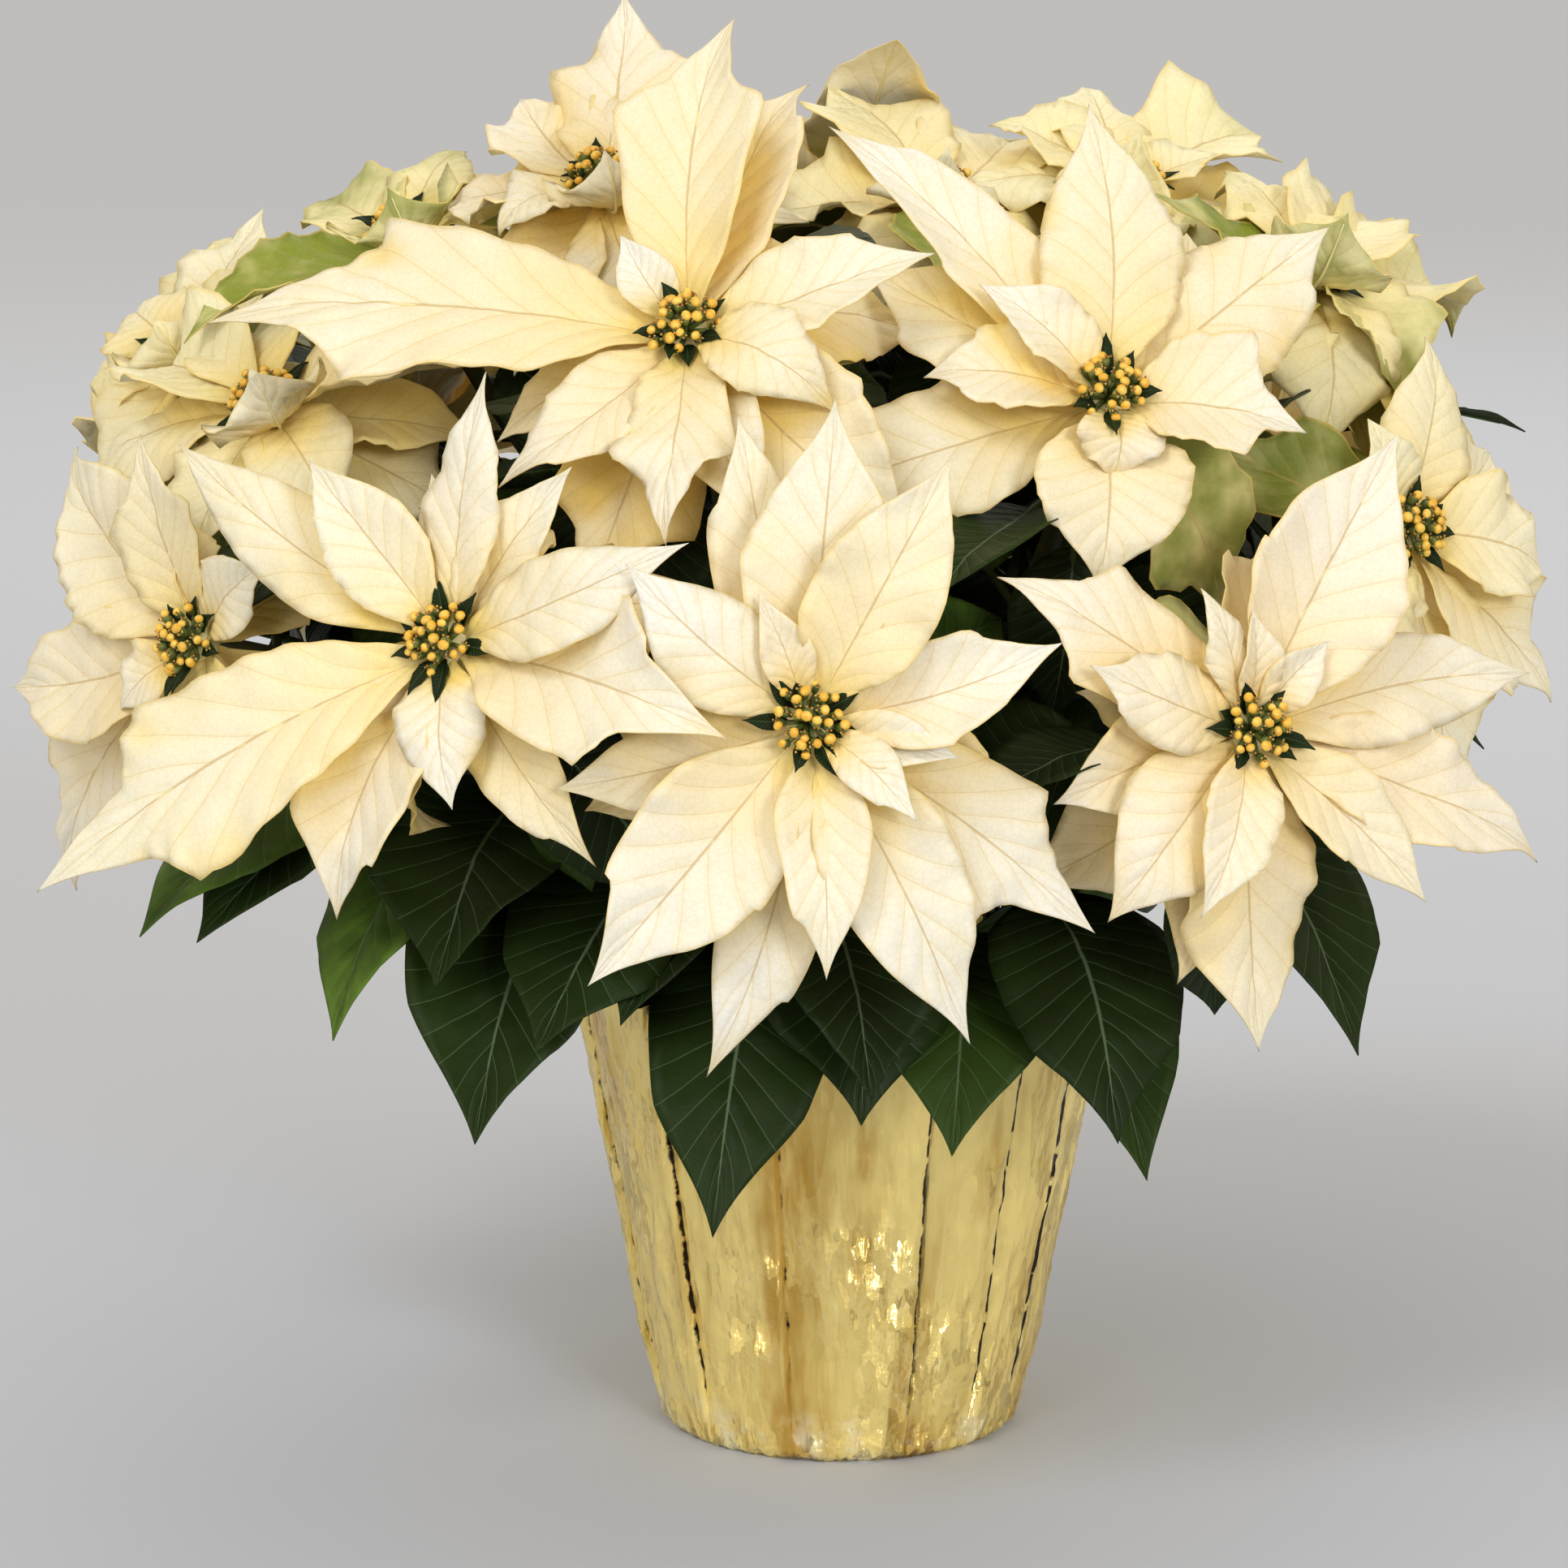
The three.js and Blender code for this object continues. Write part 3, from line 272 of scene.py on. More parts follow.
# A blade's outline: stations of along, half width, lead, and the slope of the edge before and after,
# as shares of the blade's length and width. Lead moves the edge ahead of the rib, into a tooth.
OUTLINE = {
    "bract": [
        (0, 0.05, 0, 0, 0.5), (0.34, 0.48, 0, 0.35, 0.35), (0.66, 0.38, 0, -0.95, -0.95), (1, 0, 0, -0.4, 0),
    ],
    "lobed": [
        (0, 0.05, 0, 0, 0.5), (0.3, 0.42, 0, 0.5, 0.5), (0.54, 0.56, 0.1, 1.0, -2.2),
        (0.74, 0.24, 0, -0.7, -0.7), (1, 0, 0, -0.5, 0),
    ],
    "small": [(0, 0.06, 0, 0, 0.6), (0.48, 0.5, 0, 0, 0), (1, 0, 0, -0.8, 0)],
    "leaf": [
        (0.3, 0.03, 0, 0, 1.0), (0.36, 0.2, -0.03, 3.2, 3.2), (0.5, 0.5, 0.02, 0.5, 0.5),
        (0.74, 0.4, 0.05, -0.9, -1.3), (1, 0, 0, -0.9, 0),
    ],
}
STATIONS = {name: [station[0] for station in outline] for name, outline in OUTLINE.items()}
SMALL_BRACT = 52

# How each kind of blade is finished: where its sheet starts, its fold and wave, its pairs of side
# veins and how far they sweep forward, and the relief between them and along the rib.
BRACT = {
    "from": 0.0, "fold": 8, "cup": 16, "wave": 0.12, "pairs": 9, "sweep": 0.3, "swell": 0.6, "groove": 0.5,
    "sheet": 0.45, "wider": 1.14, "flutter": 0.15, "pucker": 0.05, "roll": 0.38, "twist": 20, "teeth": 0.12,
    "sway": 0.05, "curl": 0.7,
}
RUFFLED_BRACT = {**BRACT, "swell": 1.4, "groove": 0.9, "roll": 0.5, "flutter": 0.22, "curl": 1.2}
RUFFLED_BLOOMS = (
    "upper_left", "outer_left", "crown_left", "crown", "crown_mid", "crown_right", "upper_right",
)
LEAF = {
    "from": 0.3, "fold": 9, "cup": 6, "wave": 0.1, "pairs": 13, "sweep": 0.2, "swell": 0.5, "groove": 0.7,
    "sheet": 0.45, "wider": 1.05, "flutter": 0.08, "pucker": 0.01, "roll": 0.2, "twist": 14, "teeth": 0.03,
    "sway": 0.03, "curl": 0.3,
}
# How the side veins run: their bow, how far the right ones stand ahead of the left ones, and how closely
# the sheet's columns crowd towards its rib.
VEIN = {"bow": 0.35, "beside": 0.35, "crowding": 1.25}
# The points along an edge: where they come, how far they stray, swell and lean, and how fast they drop.
TOOTH = {"first": 0.5, "next": 0.2, "stray": 0.07, "reach": 0.14, "drop": 0.25, "ahead": 0.03}
# The waves of an edge: how many crests, and how much finer its puckers are.
RUFFLE = {"crests": 2.6, "spread": 1.1, "at_root": 0.3, "roll": 2.6, "pucker": 6.7}
# The relief of a sheet, in millimetres and shares of its size.
RELIEF = {
    "uneven": 0.07, "rib_round": 0.03, "rib_sink": 0.17, "full_width": 12, "hollow": 0.6,
    "groove_width": 1.5, "dent": 0.9, "dent_pitch": 0.11, "curl_from": 0.7,
}
# The raised rib under a blade, which runs on from its stalk: its radius at the root and at the tip, how
# far along the blade it reaches, where it is thinnest, and how deep it lies in the sheet, in radii.
RIB = {"bract": (0.9, 0.2), "leaf": (1.5, 0.3), "reach": 0.93, "thin_at": 0.95, "sunk": 1.1}
RIB_ROWS, RIB_SIDES = 14, 6
PITCH = {"front": 2.4, "other": 3.3, "leaf": 3.9, "leaflet": 1.7}  # the fineness of a sheet's grid
# Painted ochre shade on the bracts: a tint that grows towards the root and where other solids stand over a
# place.
ROOT_SHADE_AND_TONE = {"root": 0.75, "fade": 2.2}  # a bract is warmer at its root,
PAINTED_SHADE_RAYS = {"start": 6, "reach": 70, "share": 0.85}  # and where others stand over it
# The ways in which rays feel for what stands over a bract and paints its shade, in shares of the
# bract's face, its side and the upright.
OUTLOOKS = [(1, 0, 0), (1, 0, 1), (1, 0.8, 0), (1, -0.8, 0), (0.6, 0, 1.2), (1, 0, -0.5)]
CANOPY = {"middle": (-18, 0, 250), "size": (240, 222, 185)}  # the outline that what grows more stays in
# What a bloom grows more, where there is room: at most how many, the ways in which each may grow, and how
# clear it stays of its neighbours from a share of its length on.
FILLING = {
    "leaf": {
        "count": 15, "clearance": 1.2, "from": 0.0,
        "sizes": (1, 0.85, 0.7, 0.58), "lifts": (-14, -28, -42, -2), "swings": (0, 14, -14, 28, -28),
    },
    "bract": {
        "count": 6, "clearance": 0.9, "from": 0.28,
        "sizes": (1, 0.85, 0.7), "lifts": (-10, -20, 0, -30, 24), "swings": (0, 12, -12, 24, -24),
    },
}
FILLING_WIDTH = 0.46
FRONT_BLOOMS = ("centre", "top_left", "top_right", "left", "right", "far_left")
# The number of each thing that is drawn for a blade.
DRAW = {
    "twist": 11, "sway": 12, "flutter": 13, "crests": 14, "phase": 18, "green": 21, "blush": 22, "roll": 23,
    "warm_tone_and_shade": 24, "tooth_at": 25, "curl": 29, "young": 31, "tooth_size": 35, "turning": 41,
}


def scatter(i, j):
    """A number from -1 to 1 that is always the same for the same pair."""
    wild = math.sin(i * 12.9898 + j * 78.233) * 43758.5453
    return 2 * (wild - math.floor(wild)) - 1


def drawn(name, seed):
    return scatter(seed, DRAW[name])


def heading(bearing, rise=0.0):
    """The unit vector on a compass bearing, raised by a slope, both in degrees."""
    b = math.radians(bearing)
    r = math.radians(rise)
    return Vector((math.sin(b) * math.cos(r), -math.cos(b) * math.cos(r), math.sin(r)))


def clamp(value, low, high):
    return max(low, min(high, value))


def mixed(a, b, share):
    return a + (b - a) * share


# ---------------------------------------------------------------- stems


def on_main_stem(plant, z):
    foot = heading(PLANTS[plant]) * MAIN_STEM["ring"]
    return Vector((foot.x, foot.y, z))


class Bloom:
    """A flower head: its place, its facing, its colour and the branch that carries it."""

    def __init__(self, index, row):
        self.index = index
        self.name, self.plant, at, faces, self.green, self.blush = row
        self.centre = Vector(at)
        self.axis = heading(*faces)
        self.up = (UP - self.axis * self.axis.z).normalized()
        self.right = self.up.cross(self.axis)

    def turned(self, clock):
        """The direction on the bloom's face at a clock angle."""
        c = math.radians(clock)
        return self.up * math.cos(c) + self.right * math.sin(c)

    def branch(self, t):
        """A point on the branch, from the main stem at 0 to the bloom's back at 1."""
        a, b, c, d = self.reins
        s = 1 - t
        return a * s**3 + b * (3 * s * s * t) + c * (3 * s * t * t) + d * t**3

    def branch_heading(self, t):
        near = 0.01
        return (self.branch(min(t + near, 1)) - self.branch(max(t - near, 0))).normalized()


def set_branch(bloom, rank):
    """The reins of a bloom's branch, which springs from the main stem in the order of its plant's blooms."""
    start = on_main_stem(bloom.plant, MAIN_STEM["first_branch"] + rank * MAIN_STEM["branch_step"])
    end = bloom.centre - bloom.axis * (KNOB["height"] + SEAT_GAP)
    reach = (end - start).length
    level = Vector((end.x - start.x, end.y - start.y, 0)).normalized()
    rise = level * (BRANCH["outward"] * reach) + UP * (BRANCH["upward"] * reach)
    behind = end - bloom.axis * (BRANCH["straight_end"] * reach)
    bloom.reins = [start, start + rise, behind, end]


def spaced_points(line, count):
    """Points that lie evenly along a line."""
    points = [line(i / LINE_STEPS) for i in range(LINE_STEPS + 1)]
    lengths = [0.0]
    for a, b in zip(points, points[1:]):
        lengths.append(lengths[-1] + (b - a).length)

    def at(share):
        wanted = share * lengths[-1]
        i = clamp(bisect.bisect_right(lengths, wanted) - 1, 0, LINE_STEPS - 1)
        part = (wanted - lengths[i]) / (lengths[i + 1] - lengths[i])
        return line((i + part) / LINE_STEPS)

    return [at(i / count) for i in range(count + 1)]


def on_branch(bloom, up):
    """The point on a branch's straight-sided solid that is nearest to its line, a share of the way up."""
    at = bloom.branch(up)
    stations = spaced_points(bloom.branch, BRANCH["steps"])
    points = []
    for a, b in zip(stations, stations[1:]):
        share = (at - a).dot(b - a) / (b - a).length_squared
        points.append(a.lerp(b, clamp(share, 0, 1)))
    return min(points, key=lambda p: (p - at).length)


# ---------------------------------------------------------------- blades: bracts and leaves


def tilted(out, axis, lift):
    """A blade's heading and face where it springs outwards, raised towards an axis by some degrees."""
    rise = math.radians(lift)
    return out * math.cos(rise) + axis * math.sin(rise), axis * math.cos(rise) - out * math.sin(rise)


class Blade:
    """A bract or a leaf: its outline, its habit and its arched rib."""

    def __init__(self, root, springs, length, width, bend, outline, habit, seed):
        start, self.face = springs
        self.root = root
        self.length = length
        self.width = width
        self.outline = OUTLINE[outline]
        self.stations = STATIONS[outline]
        self.habit = habit
        self.seed = seed
        b = math.radians(bend)
        end = start * math.cos(b) - self.face * math.sin(b)
        self.elbow = root + start * (length / 2)
        self.tip = self.elbow + end * (length / 2)
        self.side = start.cross(self.face).normalized()

    def rib(self, t):
        s = 1 - t
        return self.root * (s * s) + self.elbow * (2 * s * t) + self.tip * (t * t)

    def ahead(self, t):
        return ((self.elbow - self.root) * (1 - t) + (self.tip - self.elbow) * t).normalized()

    def station_before(self, u):
        """The last of the outline's stations, but for its end, that lies before a share of the length."""
        return clamp(bisect.bisect_right(self.stations, u) - 1, 0, len(self.stations) - 2)

    def edge_at(self, u):
        """The half width and the lead of the outline at a share of the length."""
        k = self.station_before(u)
        x0, y0, lead0, _, slope0 = self.outline[k]
        x1, y1, lead1, slope1, _ = self.outline[k + 1]
        gap = x1 - x0
        t = (u - x0) / gap
        half = (
            (2 * t**3 - 3 * t**2 + 1) * y0 + (t**3 - 2 * t**2 + t) * gap * slope0
            + (3 * t**2 - 2 * t**3) * y1 + (t**3 - t**2) * gap * slope1
        )
        return half, mixed(lead0, lead1, t * t if lead1 > lead0 else t)

    def station_lifts(self, hand):
        """How far one edge is lifted at each of the outline's stations, as the blade's solid has it."""
        last = len(self.stations) - 1
        lift = lambda i: self.habit["wave"] * scatter(self.seed + i, hand) if 0 < i < last else 0.0
        return [lift(i) for i in range(last + 1)]


def tooth(u, at):
    """A point on an edge that leans forward: it swells slowly up to its place and drops back at once."""
    reach = TOOTH["reach"]
    return max(0.0, 1 - (at - u) / reach if u < at else 1 - (u - at) / (TOOTH["drop"] * reach))


def draw_tooth(seed, hand, k):
    """Where a blade's edge has its next point, and how large that is."""
    at = TOOTH["first"] + TOOTH["next"] * k + TOOTH["stray"] * scatter(seed, DRAW["tooth_at"] + 2 * k + hand)
    return at, scatter(seed, DRAW["tooth_size"] + 2 * k + hand)


class Sheet:
    """The surface of a blade, with its own twist, sway, ruffles, points and curl."""

    def __init__(self, blade):
        draw = lambda name: drawn(name, blade.seed)
        habit = blade.habit
        self.blade = blade
        self.twist = math.radians(habit["twist"]) * draw("twist")
        self.sway = habit["sway"] * blade.length * draw("sway")
        self.flutter = habit["flutter"] * (1 + 0.5 * draw("flutter"))
        self.crests = RUFFLE["crests"] + RUFFLE["spread"] * draw("crests")
        self.roll = habit["roll"] * draw("roll")
        self.curl = habit["curl"] * blade.length * (draw("curl") - 0.5)
        self.phase = {hand: math.pi * scatter(blade.seed, DRAW["phase"] + hand) for hand in HANDS}
        self.teeth = {hand: [draw_tooth(blade.seed, hand, k) for k in (0, 1)] for hand in HANDS}
        self.lifts = {hand: blade.station_lifts(hand) for hand in HANDS}

    def edge(self, u, a, hand):
        """The half width at a share of the length, and the share of the rib that the edge stands beside."""
        blade = self.blade
        share, lead = blade.edge_at(u)
        points = sum(tooth(u, at) * max(size, 0) for at, size in self.teeth[hand])
        uneven = 1 + RELIEF["uneven"] * noise.noise(Vector((u * 5, hand * 3.7, blade.seed * 1.3)))
        half = max(share * blade.width * blade.habit["wider"] * (uneven + blade.habit["teeth"] * points), 0)
        return half, min(u + (lead + TOOTH["ahead"] * points) * a, 1)

    def ruffle(self, u, a, hand):
        """How far an edge waves, as a share of the half width."""
        blade = self.blade
        k = blade.station_before(u)
        t = (u - blade.stations[k]) / (blade.stations[k + 1] - blade.stations[k])
        turns = math.pi * self.crests * u
        wave = mixed(self.lifts[hand][k], self.lifts[hand][k + 1], t * t * (3 - 2 * t))
        wave += self.roll * math.sin(RUFFLE["roll"] * u)
        wave += self.flutter * math.sin(2 * turns + self.phase[hand]) * mixed(RUFFLE["at_root"], 1, u)
        wave += blade.habit["pucker"] * a * a * math.sin(RUFFLE["pucker"] * turns + 2 * self.phase[hand])
        return wave

    def relief(self, s, u, v, half, hand):
        """How far the sheet stands out between its veins, sinks along its rib and curls at its tip."""
        habit = self.blade.habit
        a = abs(v)
        vein = habit["pairs"] * (s - habit["sweep"] * a * (1 - VEIN["bow"] * a))
        vein += VEIN["beside"] if hand > 0 else 0
        room = min(1.0, half / RELIEF["full_width"])
        swell = habit["swell"] * room * (abs(math.sin(math.pi * vein)) - RELIEF["hollow"])
        swell *= min(1, 5 * a) * (1 - a * a)
        groove = habit["groove"] * math.exp(-((a * half / RELIEF["groove_width"]) ** 2)) * min(1, half / 6)
        pitch = RELIEF["dent_pitch"]
        spot = Vector((u * self.blade.length * pitch, v * half * pitch, self.blade.seed * 2.7))
        dent = RELIEF["dent"] * room * noise.noise(spot)
        return swell - groove + dent + self.curl * max(u - RELIEF["curl_from"], 0) ** 2

    def place(self, s, c):
        """A point of the sheet: s runs from root to tip, and c from edge to edge, -1 to 1."""
        blade = self.blade
        u = mixed(blade.habit["from"], 1, s)
        v = math.copysign(abs(c) ** VEIN["crowding"], c)
        a = abs(v)
        hand = 1 if c > 0 else -1
        half, t = self.edge(u, a, hand)
        fold = math.radians(blade.habit["fold"] + blade.habit["cup"] * (1 - u) ** 2)
        trough = math.sin(fold) * (math.sqrt(a * a + RELIEF["rib_round"]) - RELIEF["rib_sink"])
        rise = half * (trough + self.ruffle(u, a, hand) * a * a) + self.relief(s, u, v, half, hand)
        across = v * half * math.cos(fold)
        turn = self.twist * u * u
        lean = self.sway * math.sin(math.pi * u)
        point = blade.rib(t)
        point += blade.side * (across * math.cos(turn) - rise * math.sin(turn) + lean)
        point += blade.side.cross(blade.ahead(t)) * (rise * math.cos(turn) + across * math.sin(turn))
        return point


def outlooks(face):
    """The ways out from a bract, each with the step that starts it clear of the bract's own solid."""
    side = face.cross(UP).normalized()
    ways = [face * a + side * b + UP * c for a, b, c in OUTLOOKS]
    return [(way, way.normalized() * PAINTED_SHADE_RAYS["start"]) for way in ways]


def shaded_share(at, ways, shade_casters):
    """How much of the view out from a place is closed by what stands over it, which paints shade there."""
    hits = [shade_casters.ray_cast(at + step, way, PAINTED_SHADE_RAYS["reach"])[0] for way, step in ways]
    return sum(hit is not None for hit in hits) / len(ways)


def soften(verts, layer, rounds=2):
    """Evens a tint out between neighbouring corners."""
    for _ in range(rounds):
        old = {vert: vert[layer] for vert in verts}
        for vert in verts:
            near = [edge.other_vert(vert) for edge in vert.link_edges]
            vert[layer] = (old[vert] + sum(old[other] for other in near)) / (1 + len(near))


def faces_round(verts):
    """The faces that hold any of the corners that are still there."""
    return list({face for vert in verts if vert.is_valid for face in vert.link_faces})


def grow_sheet(bm, blade, pitch, tint, blush=0.0, warm_tone_and_shade=0.0, shade_casters=None):
    """Adds a blade's thin sheet, with its tints and its painted ochre shade, as one closed body."""
    tint_layer, blush_layer, shade_and_tone_layer = (bm.verts.layers.float[name] for name in ("tint", "blush", "warm_tone_and_shade"))
    rows = max(8, round(blade.length * (1 - blade.habit["from"]) / pitch))
    columns = 2 * max(3, round(blade.width / pitch / 2))
    place = Sheet(blade).place
    ways = outlooks(blade.face)
    made = bmesh.ops.create_grid(bm, x_segments=columns, y_segments=rows, size=0.5, calc_uvs=True)
    for vert in made["verts"]:
        along = vert.co.y + 0.5
        across = 2 * vert.co.x
        # The painted shade tint: a base amount, more towards the root, and more where the solids around
        # stand over the place.
        shade_and_tone_amount = clamp(warm_tone_and_shade + ROOT_SHADE_AND_TONE["root"] * (1 - along) ** ROOT_SHADE_AND_TONE["fade"], 0, 1)
        vert.co = place(along, across)
        if shade_casters:
            shade_and_tone_amount = clamp(shade_and_tone_amount + PAINTED_SHADE_RAYS["share"] * shaded_share(vert.co, ways, shade_casters), 0, 1)
        vert[tint_layer] = tint(along, abs(across))
        vert[blush_layer] = 0.7 * blush * (1 - 0.7 * along)
        vert[shade_and_tone_layer] = shade_and_tone_amount
    bmesh.ops.remove_doubles(bm, verts=made["verts"], dist=WELD["blade"])
    soften([vert for vert in made["verts"] if vert.is_valid], shade_and_tone_layer)
    faces = faces_round(made["verts"])
    bmesh.ops.recalc_face_normals(bm, faces=faces)
    bmesh.ops.solidify(bm, geom=faces, thickness=blade.habit["sheet"])


def grow_tube(bm, line, radius, rows, sides, stalk):
    """Adds a round stem. line(t) gives its centre and its heading, and radius(t) its thickness."""
    stalk_layer = bm.verts.layers.float["stalk"]
    made = bmesh.ops.create_grid(bm, x_segments=sides, y_segments=rows + 2, size=0.5)
    for vert in made["verts"]:
        row = round((vert.co.y + 0.5) * (rows + 2))
        t = clamp((row - 1) / rows, 0, 1)
        capped = row in (0, rows + 2)
        centre, ahead = line(t)
        side = ahead.cross(UP if abs(ahead.z) < 0.999 else Vector((0, 1, 0))).normalized()
        angle = 2 * math.pi * (vert.co.x + 0.5)
        out = side * math.cos(angle) + side.cross(ahead) * math.sin(angle)
        vert[stalk_layer] = stalk
        vert.co = centre + out * (0 if capped else radius(t))
    bmesh.ops.remove_doubles(bm, verts=made["verts"], dist=WELD["blade"])
    bmesh.ops.recalc_face_normals(bm, faces=faces_round(made["verts"]))


def grow_rib(bm, blade, stalk_radius, tip_radius):
    """Adds a blade's stalk, which runs on under its sheet as the raised rib."""
    free = blade.habit["from"]
    place = Sheet(blade).place
    joint = place(0, 0) - blade.rib(free)

    def radius(t):
        return mixed(stalk_radius, tip_radius, clamp((t - free) / (RIB["thin_at"] - free), 0, 1) ** 0.7)

    def line(t):
        ahead = blade.ahead(t)
        sunk = RIB["sunk"] * radius(t) * clamp((t - free) / 0.1, 0, 1)
        centre = place((t - free) / (1 - free), 0) if t >= free else blade.rib(t) + joint * (t / free)
        return centre - blade.side.cross(ahead) * sunk, ahead

    reach = RIB["reach"]
    grow_tube(bm, lambda t: line(t * reach), lambda t: radius(t * reach), RIB_ROWS, RIB_SIDES, 1.0)


# ---------------------------------------------------------------- materials


class Wiring:
    """Adds shader nodes to one tree and joins them."""

    def __init__(self, tree):
        self.tree = tree

    def add(self, kind, inputs=None, **settings):
        made = self.tree.nodes.new("ShaderNode" + kind)
        for name, value in settings.items():
            setattr(made, name, value)
        for name, value in (inputs or {}).items():
            self.feed(made.inputs[name], value)
        return made

    def feed(self, socket, value):
        if isinstance(value, bpy.types.NodeSocket):
            self.tree.links.new(value, socket)
        else:
            socket.default_value = value

    def math(self, operation, *values):
        made = self.add("Math", operation=operation)
        for socket, value in zip(made.inputs, values):
            self.feed(socket, value)
        return made.outputs[0]

    def times(self, value, *others):
        for other in others:
            value = self.math("MULTIPLY", value, other)
        return value

    def times_plus(self, value, factor, more):
        return self.math("MULTIPLY_ADD", value, factor, more)

    def fade(self, value, low, high):
        """0 below low and 1 above high, or the other way round, with a soft step between."""
        ends = {"Value": value, "From Min": low, "From Max": high}
        return self.add("MapRange", ends, interpolation_type="SMOOTHSTEP").outputs["Result"]

    def between(self, value, low, high):
        return self.add("MapRange", {"Value": value, "To Min": low, "To Max": high}).outputs["Result"]

    def blend(self, share, a, b):
        made = self.add("Mix", data_type="RGBA")
        for index, value in ((0, share), (6, a), (7, b)):
            self.feed(made.inputs[index], value)
        return made.outputs[2]

    def coats(self, paints, layers):
        """The plain colour of some paints, with others of them laid over it in turn, each by its share."""
        colour = paints["colour"]
        for share, name in layers:
            colour = self.blend(share, colour, paints[name])
        return colour

    def noise(self, place, scale, detail=3.0):
        return self.add("TexNoise", {"Vector": place, "Scale": scale, "Detail": detail}).outputs["Fac"]

    def vector(self, operation, *values):
        return self.add("VectorMath", dict(enumerate(values)), operation=operation).outputs[0]

    def relief(self, height, strength, distance, **others):
        inputs = {"Height": height, "Strength": strength, "Distance": distance, **others}
        return self.add("Bump", inputs).outputs["Normal"]

    def attribute(self, name):
        return self.add("Attribute", attribute_name=name).outputs["Fac"]

    def object_place(self):
        return self.add("TexCoord").outputs["Object"]


def new_group(name, inputs, outputs):
    """A shader node group with named float inputs and outputs: its tree, wiring, and end nodes."""
    tree = bpy.data.node_groups.new(name, "ShaderNodeTree")
    for way, sockets in (("INPUT", inputs), ("OUTPUT", outputs)):
        for socket in sockets:
            tree.interface.new_socket(socket, in_out=way, socket_type="NodeSocketFloat")
    start = tree.nodes.new("NodeGroupInput")
    end = tree.nodes.new("NodeGroupOutput")
    return tree, Wiring(tree), start.outputs, end.inputs


def pinnate_veins():
    """A group for the rib and the paired side veins of a blade, read from its own sheet."""
    outputs = ["Rib", "Side veins", "Swell", "Margin"]
    tree, w, given, result = new_group("pinnate veins", ["Pairs", "Sweep"], outputs)
    place = w.add("SeparateXYZ", {"Vector": w.add("UVMap", uv_map="blade").outputs["UV"]})
    across = w.times_plus(place.outputs["X"], 2.0, -1.0)
    away = w.math("POWER", w.math("ABSOLUTE", across), VEIN["crowding"])
    sweep = w.times(given["Sweep"], away, w.times_plus(away, -VEIN["bow"], 1.0))
    beside = w.times(w.math("GREATER_THAN", across, 0.0), VEIN["beside"])
    count = w.times(given["Pairs"], w.math("SUBTRACT", place.outputs["Y"], sweep))
    swell = w.math("ABSOLUTE", w.math("SINE", w.times(w.math("ADD", count, beside), math.pi)))
    w.feed(result["Side veins"], w.fade(swell, w.times_plus(away, -0.1, 0.17), 0.0))
    w.feed(result["Rib"], w.fade(away, 0.022, 0.004))
    w.feed(result["Margin"], w.fade(away, 0.94, 0.995))
    w.feed(result["Swell"], swell)
    return tree


def vein_net():
    """A group for the fine net of veins between the side veins."""
    tree, w, given, result = new_group("vein net", ["Cells"], ["Lines"])
    inputs = {"Vector": w.object_place(), "Scale": given["Cells"], "Randomness": 0.9}
    cells = w.add("TexVoronoi", inputs, feature="DISTANCE_TO_EDGE")
    w.feed(result["Lines"], w.fade(cells.outputs["Distance"], 0.09, 0.02))
    return tree


VEINS = pinnate_veins()
NET = vein_net()


def new_material(name):
    material = bpy.data.materials.new(name)
    material.use_nodes = True
    return material, Wiring(material.node_tree), material.node_tree.nodes["Principled BSDF"].inputs


def placed(w, tree, **values):
    """A group placed in a material with its own values."""
    made = w.add("Group", node_tree=tree)
    for name, value in values.items():
        made.inputs[name].default_value = value
    return made.outputs


def blade_material(name, look):
    """A bract's or a leaf's skin: veins, net, mottling, painted shade in its creases, and the tints that its
    blades carry, painted shade among them.
    """
    material, w, skin = new_material(name)
    place = w.object_place()
    veins = placed(w, VEINS, Pairs=look["pairs"], Sweep=look["sweep"])
    tint, stalk = w.attribute("tint"), w.attribute("stalk")
    off_stalk = w.math("SUBTRACT", 1.0, stalk)
    patchy = w.times_plus(w.noise(place, 60.0), 0.8, 0.6)
    layers = [
        (w.fade(w.noise(place, 45.0), 0.35, 0.75), "mottle"),
        # Painted shade: ochre in the hollows along the side veins.
        (w.times(w.fade(veins["Swell"], 0.75, 0.1), off_stalk, look["painted_crease_shade_share"]), "warm_tone_and_shade"),
        # Painted shade that the blades carry, most at the root and under their neighbours.
        (w.times(w.attribute("warm_tone_and_shade"), patchy, look["tone_and_painted_shade_share"]), "warm_tone_and_shade"),
        (tint, "young"),
        (w.fade(w.times(tint, patchy), 0.5, 0.9), "green"),
        (w.attribute("blush"), "blush"),
    ]
    if "cells" in look:
        layers.append((w.times(placed(w, NET, Cells=look["cells"])["Lines"], look["net_share"]), "vein"))
    layers += [
        (w.times(veins["Side veins"], off_stalk, look["side_share"]), "vein"),
        (w.times(veins["Rib"], off_stalk, look["rib_share"]), "vein"),
        # A thin line of the same ochre along the margins.
        (w.times(veins["Margin"], off_stalk, look["margin_share"]), "warm_tone_and_shade"),
        (stalk, "stalk"),
    ]
    w.feed(skin["Base Color"], w.coats(look, layers))
    w.feed(skin["Roughness"], w.between(w.noise(place, 120.0), *look["rough"]))
    grain = w.times(w.noise(place, look["grain"], 1.0), look["grain_relief"])
    height = w.math("ADD", w.times(veins["Swell"], off_stalk), grain)
    w.feed(skin["Normal"], w.relief(height, look["bump"], 0.0006))
    skin["Specular IOR Level"].default_value = look["specular"]
    return material


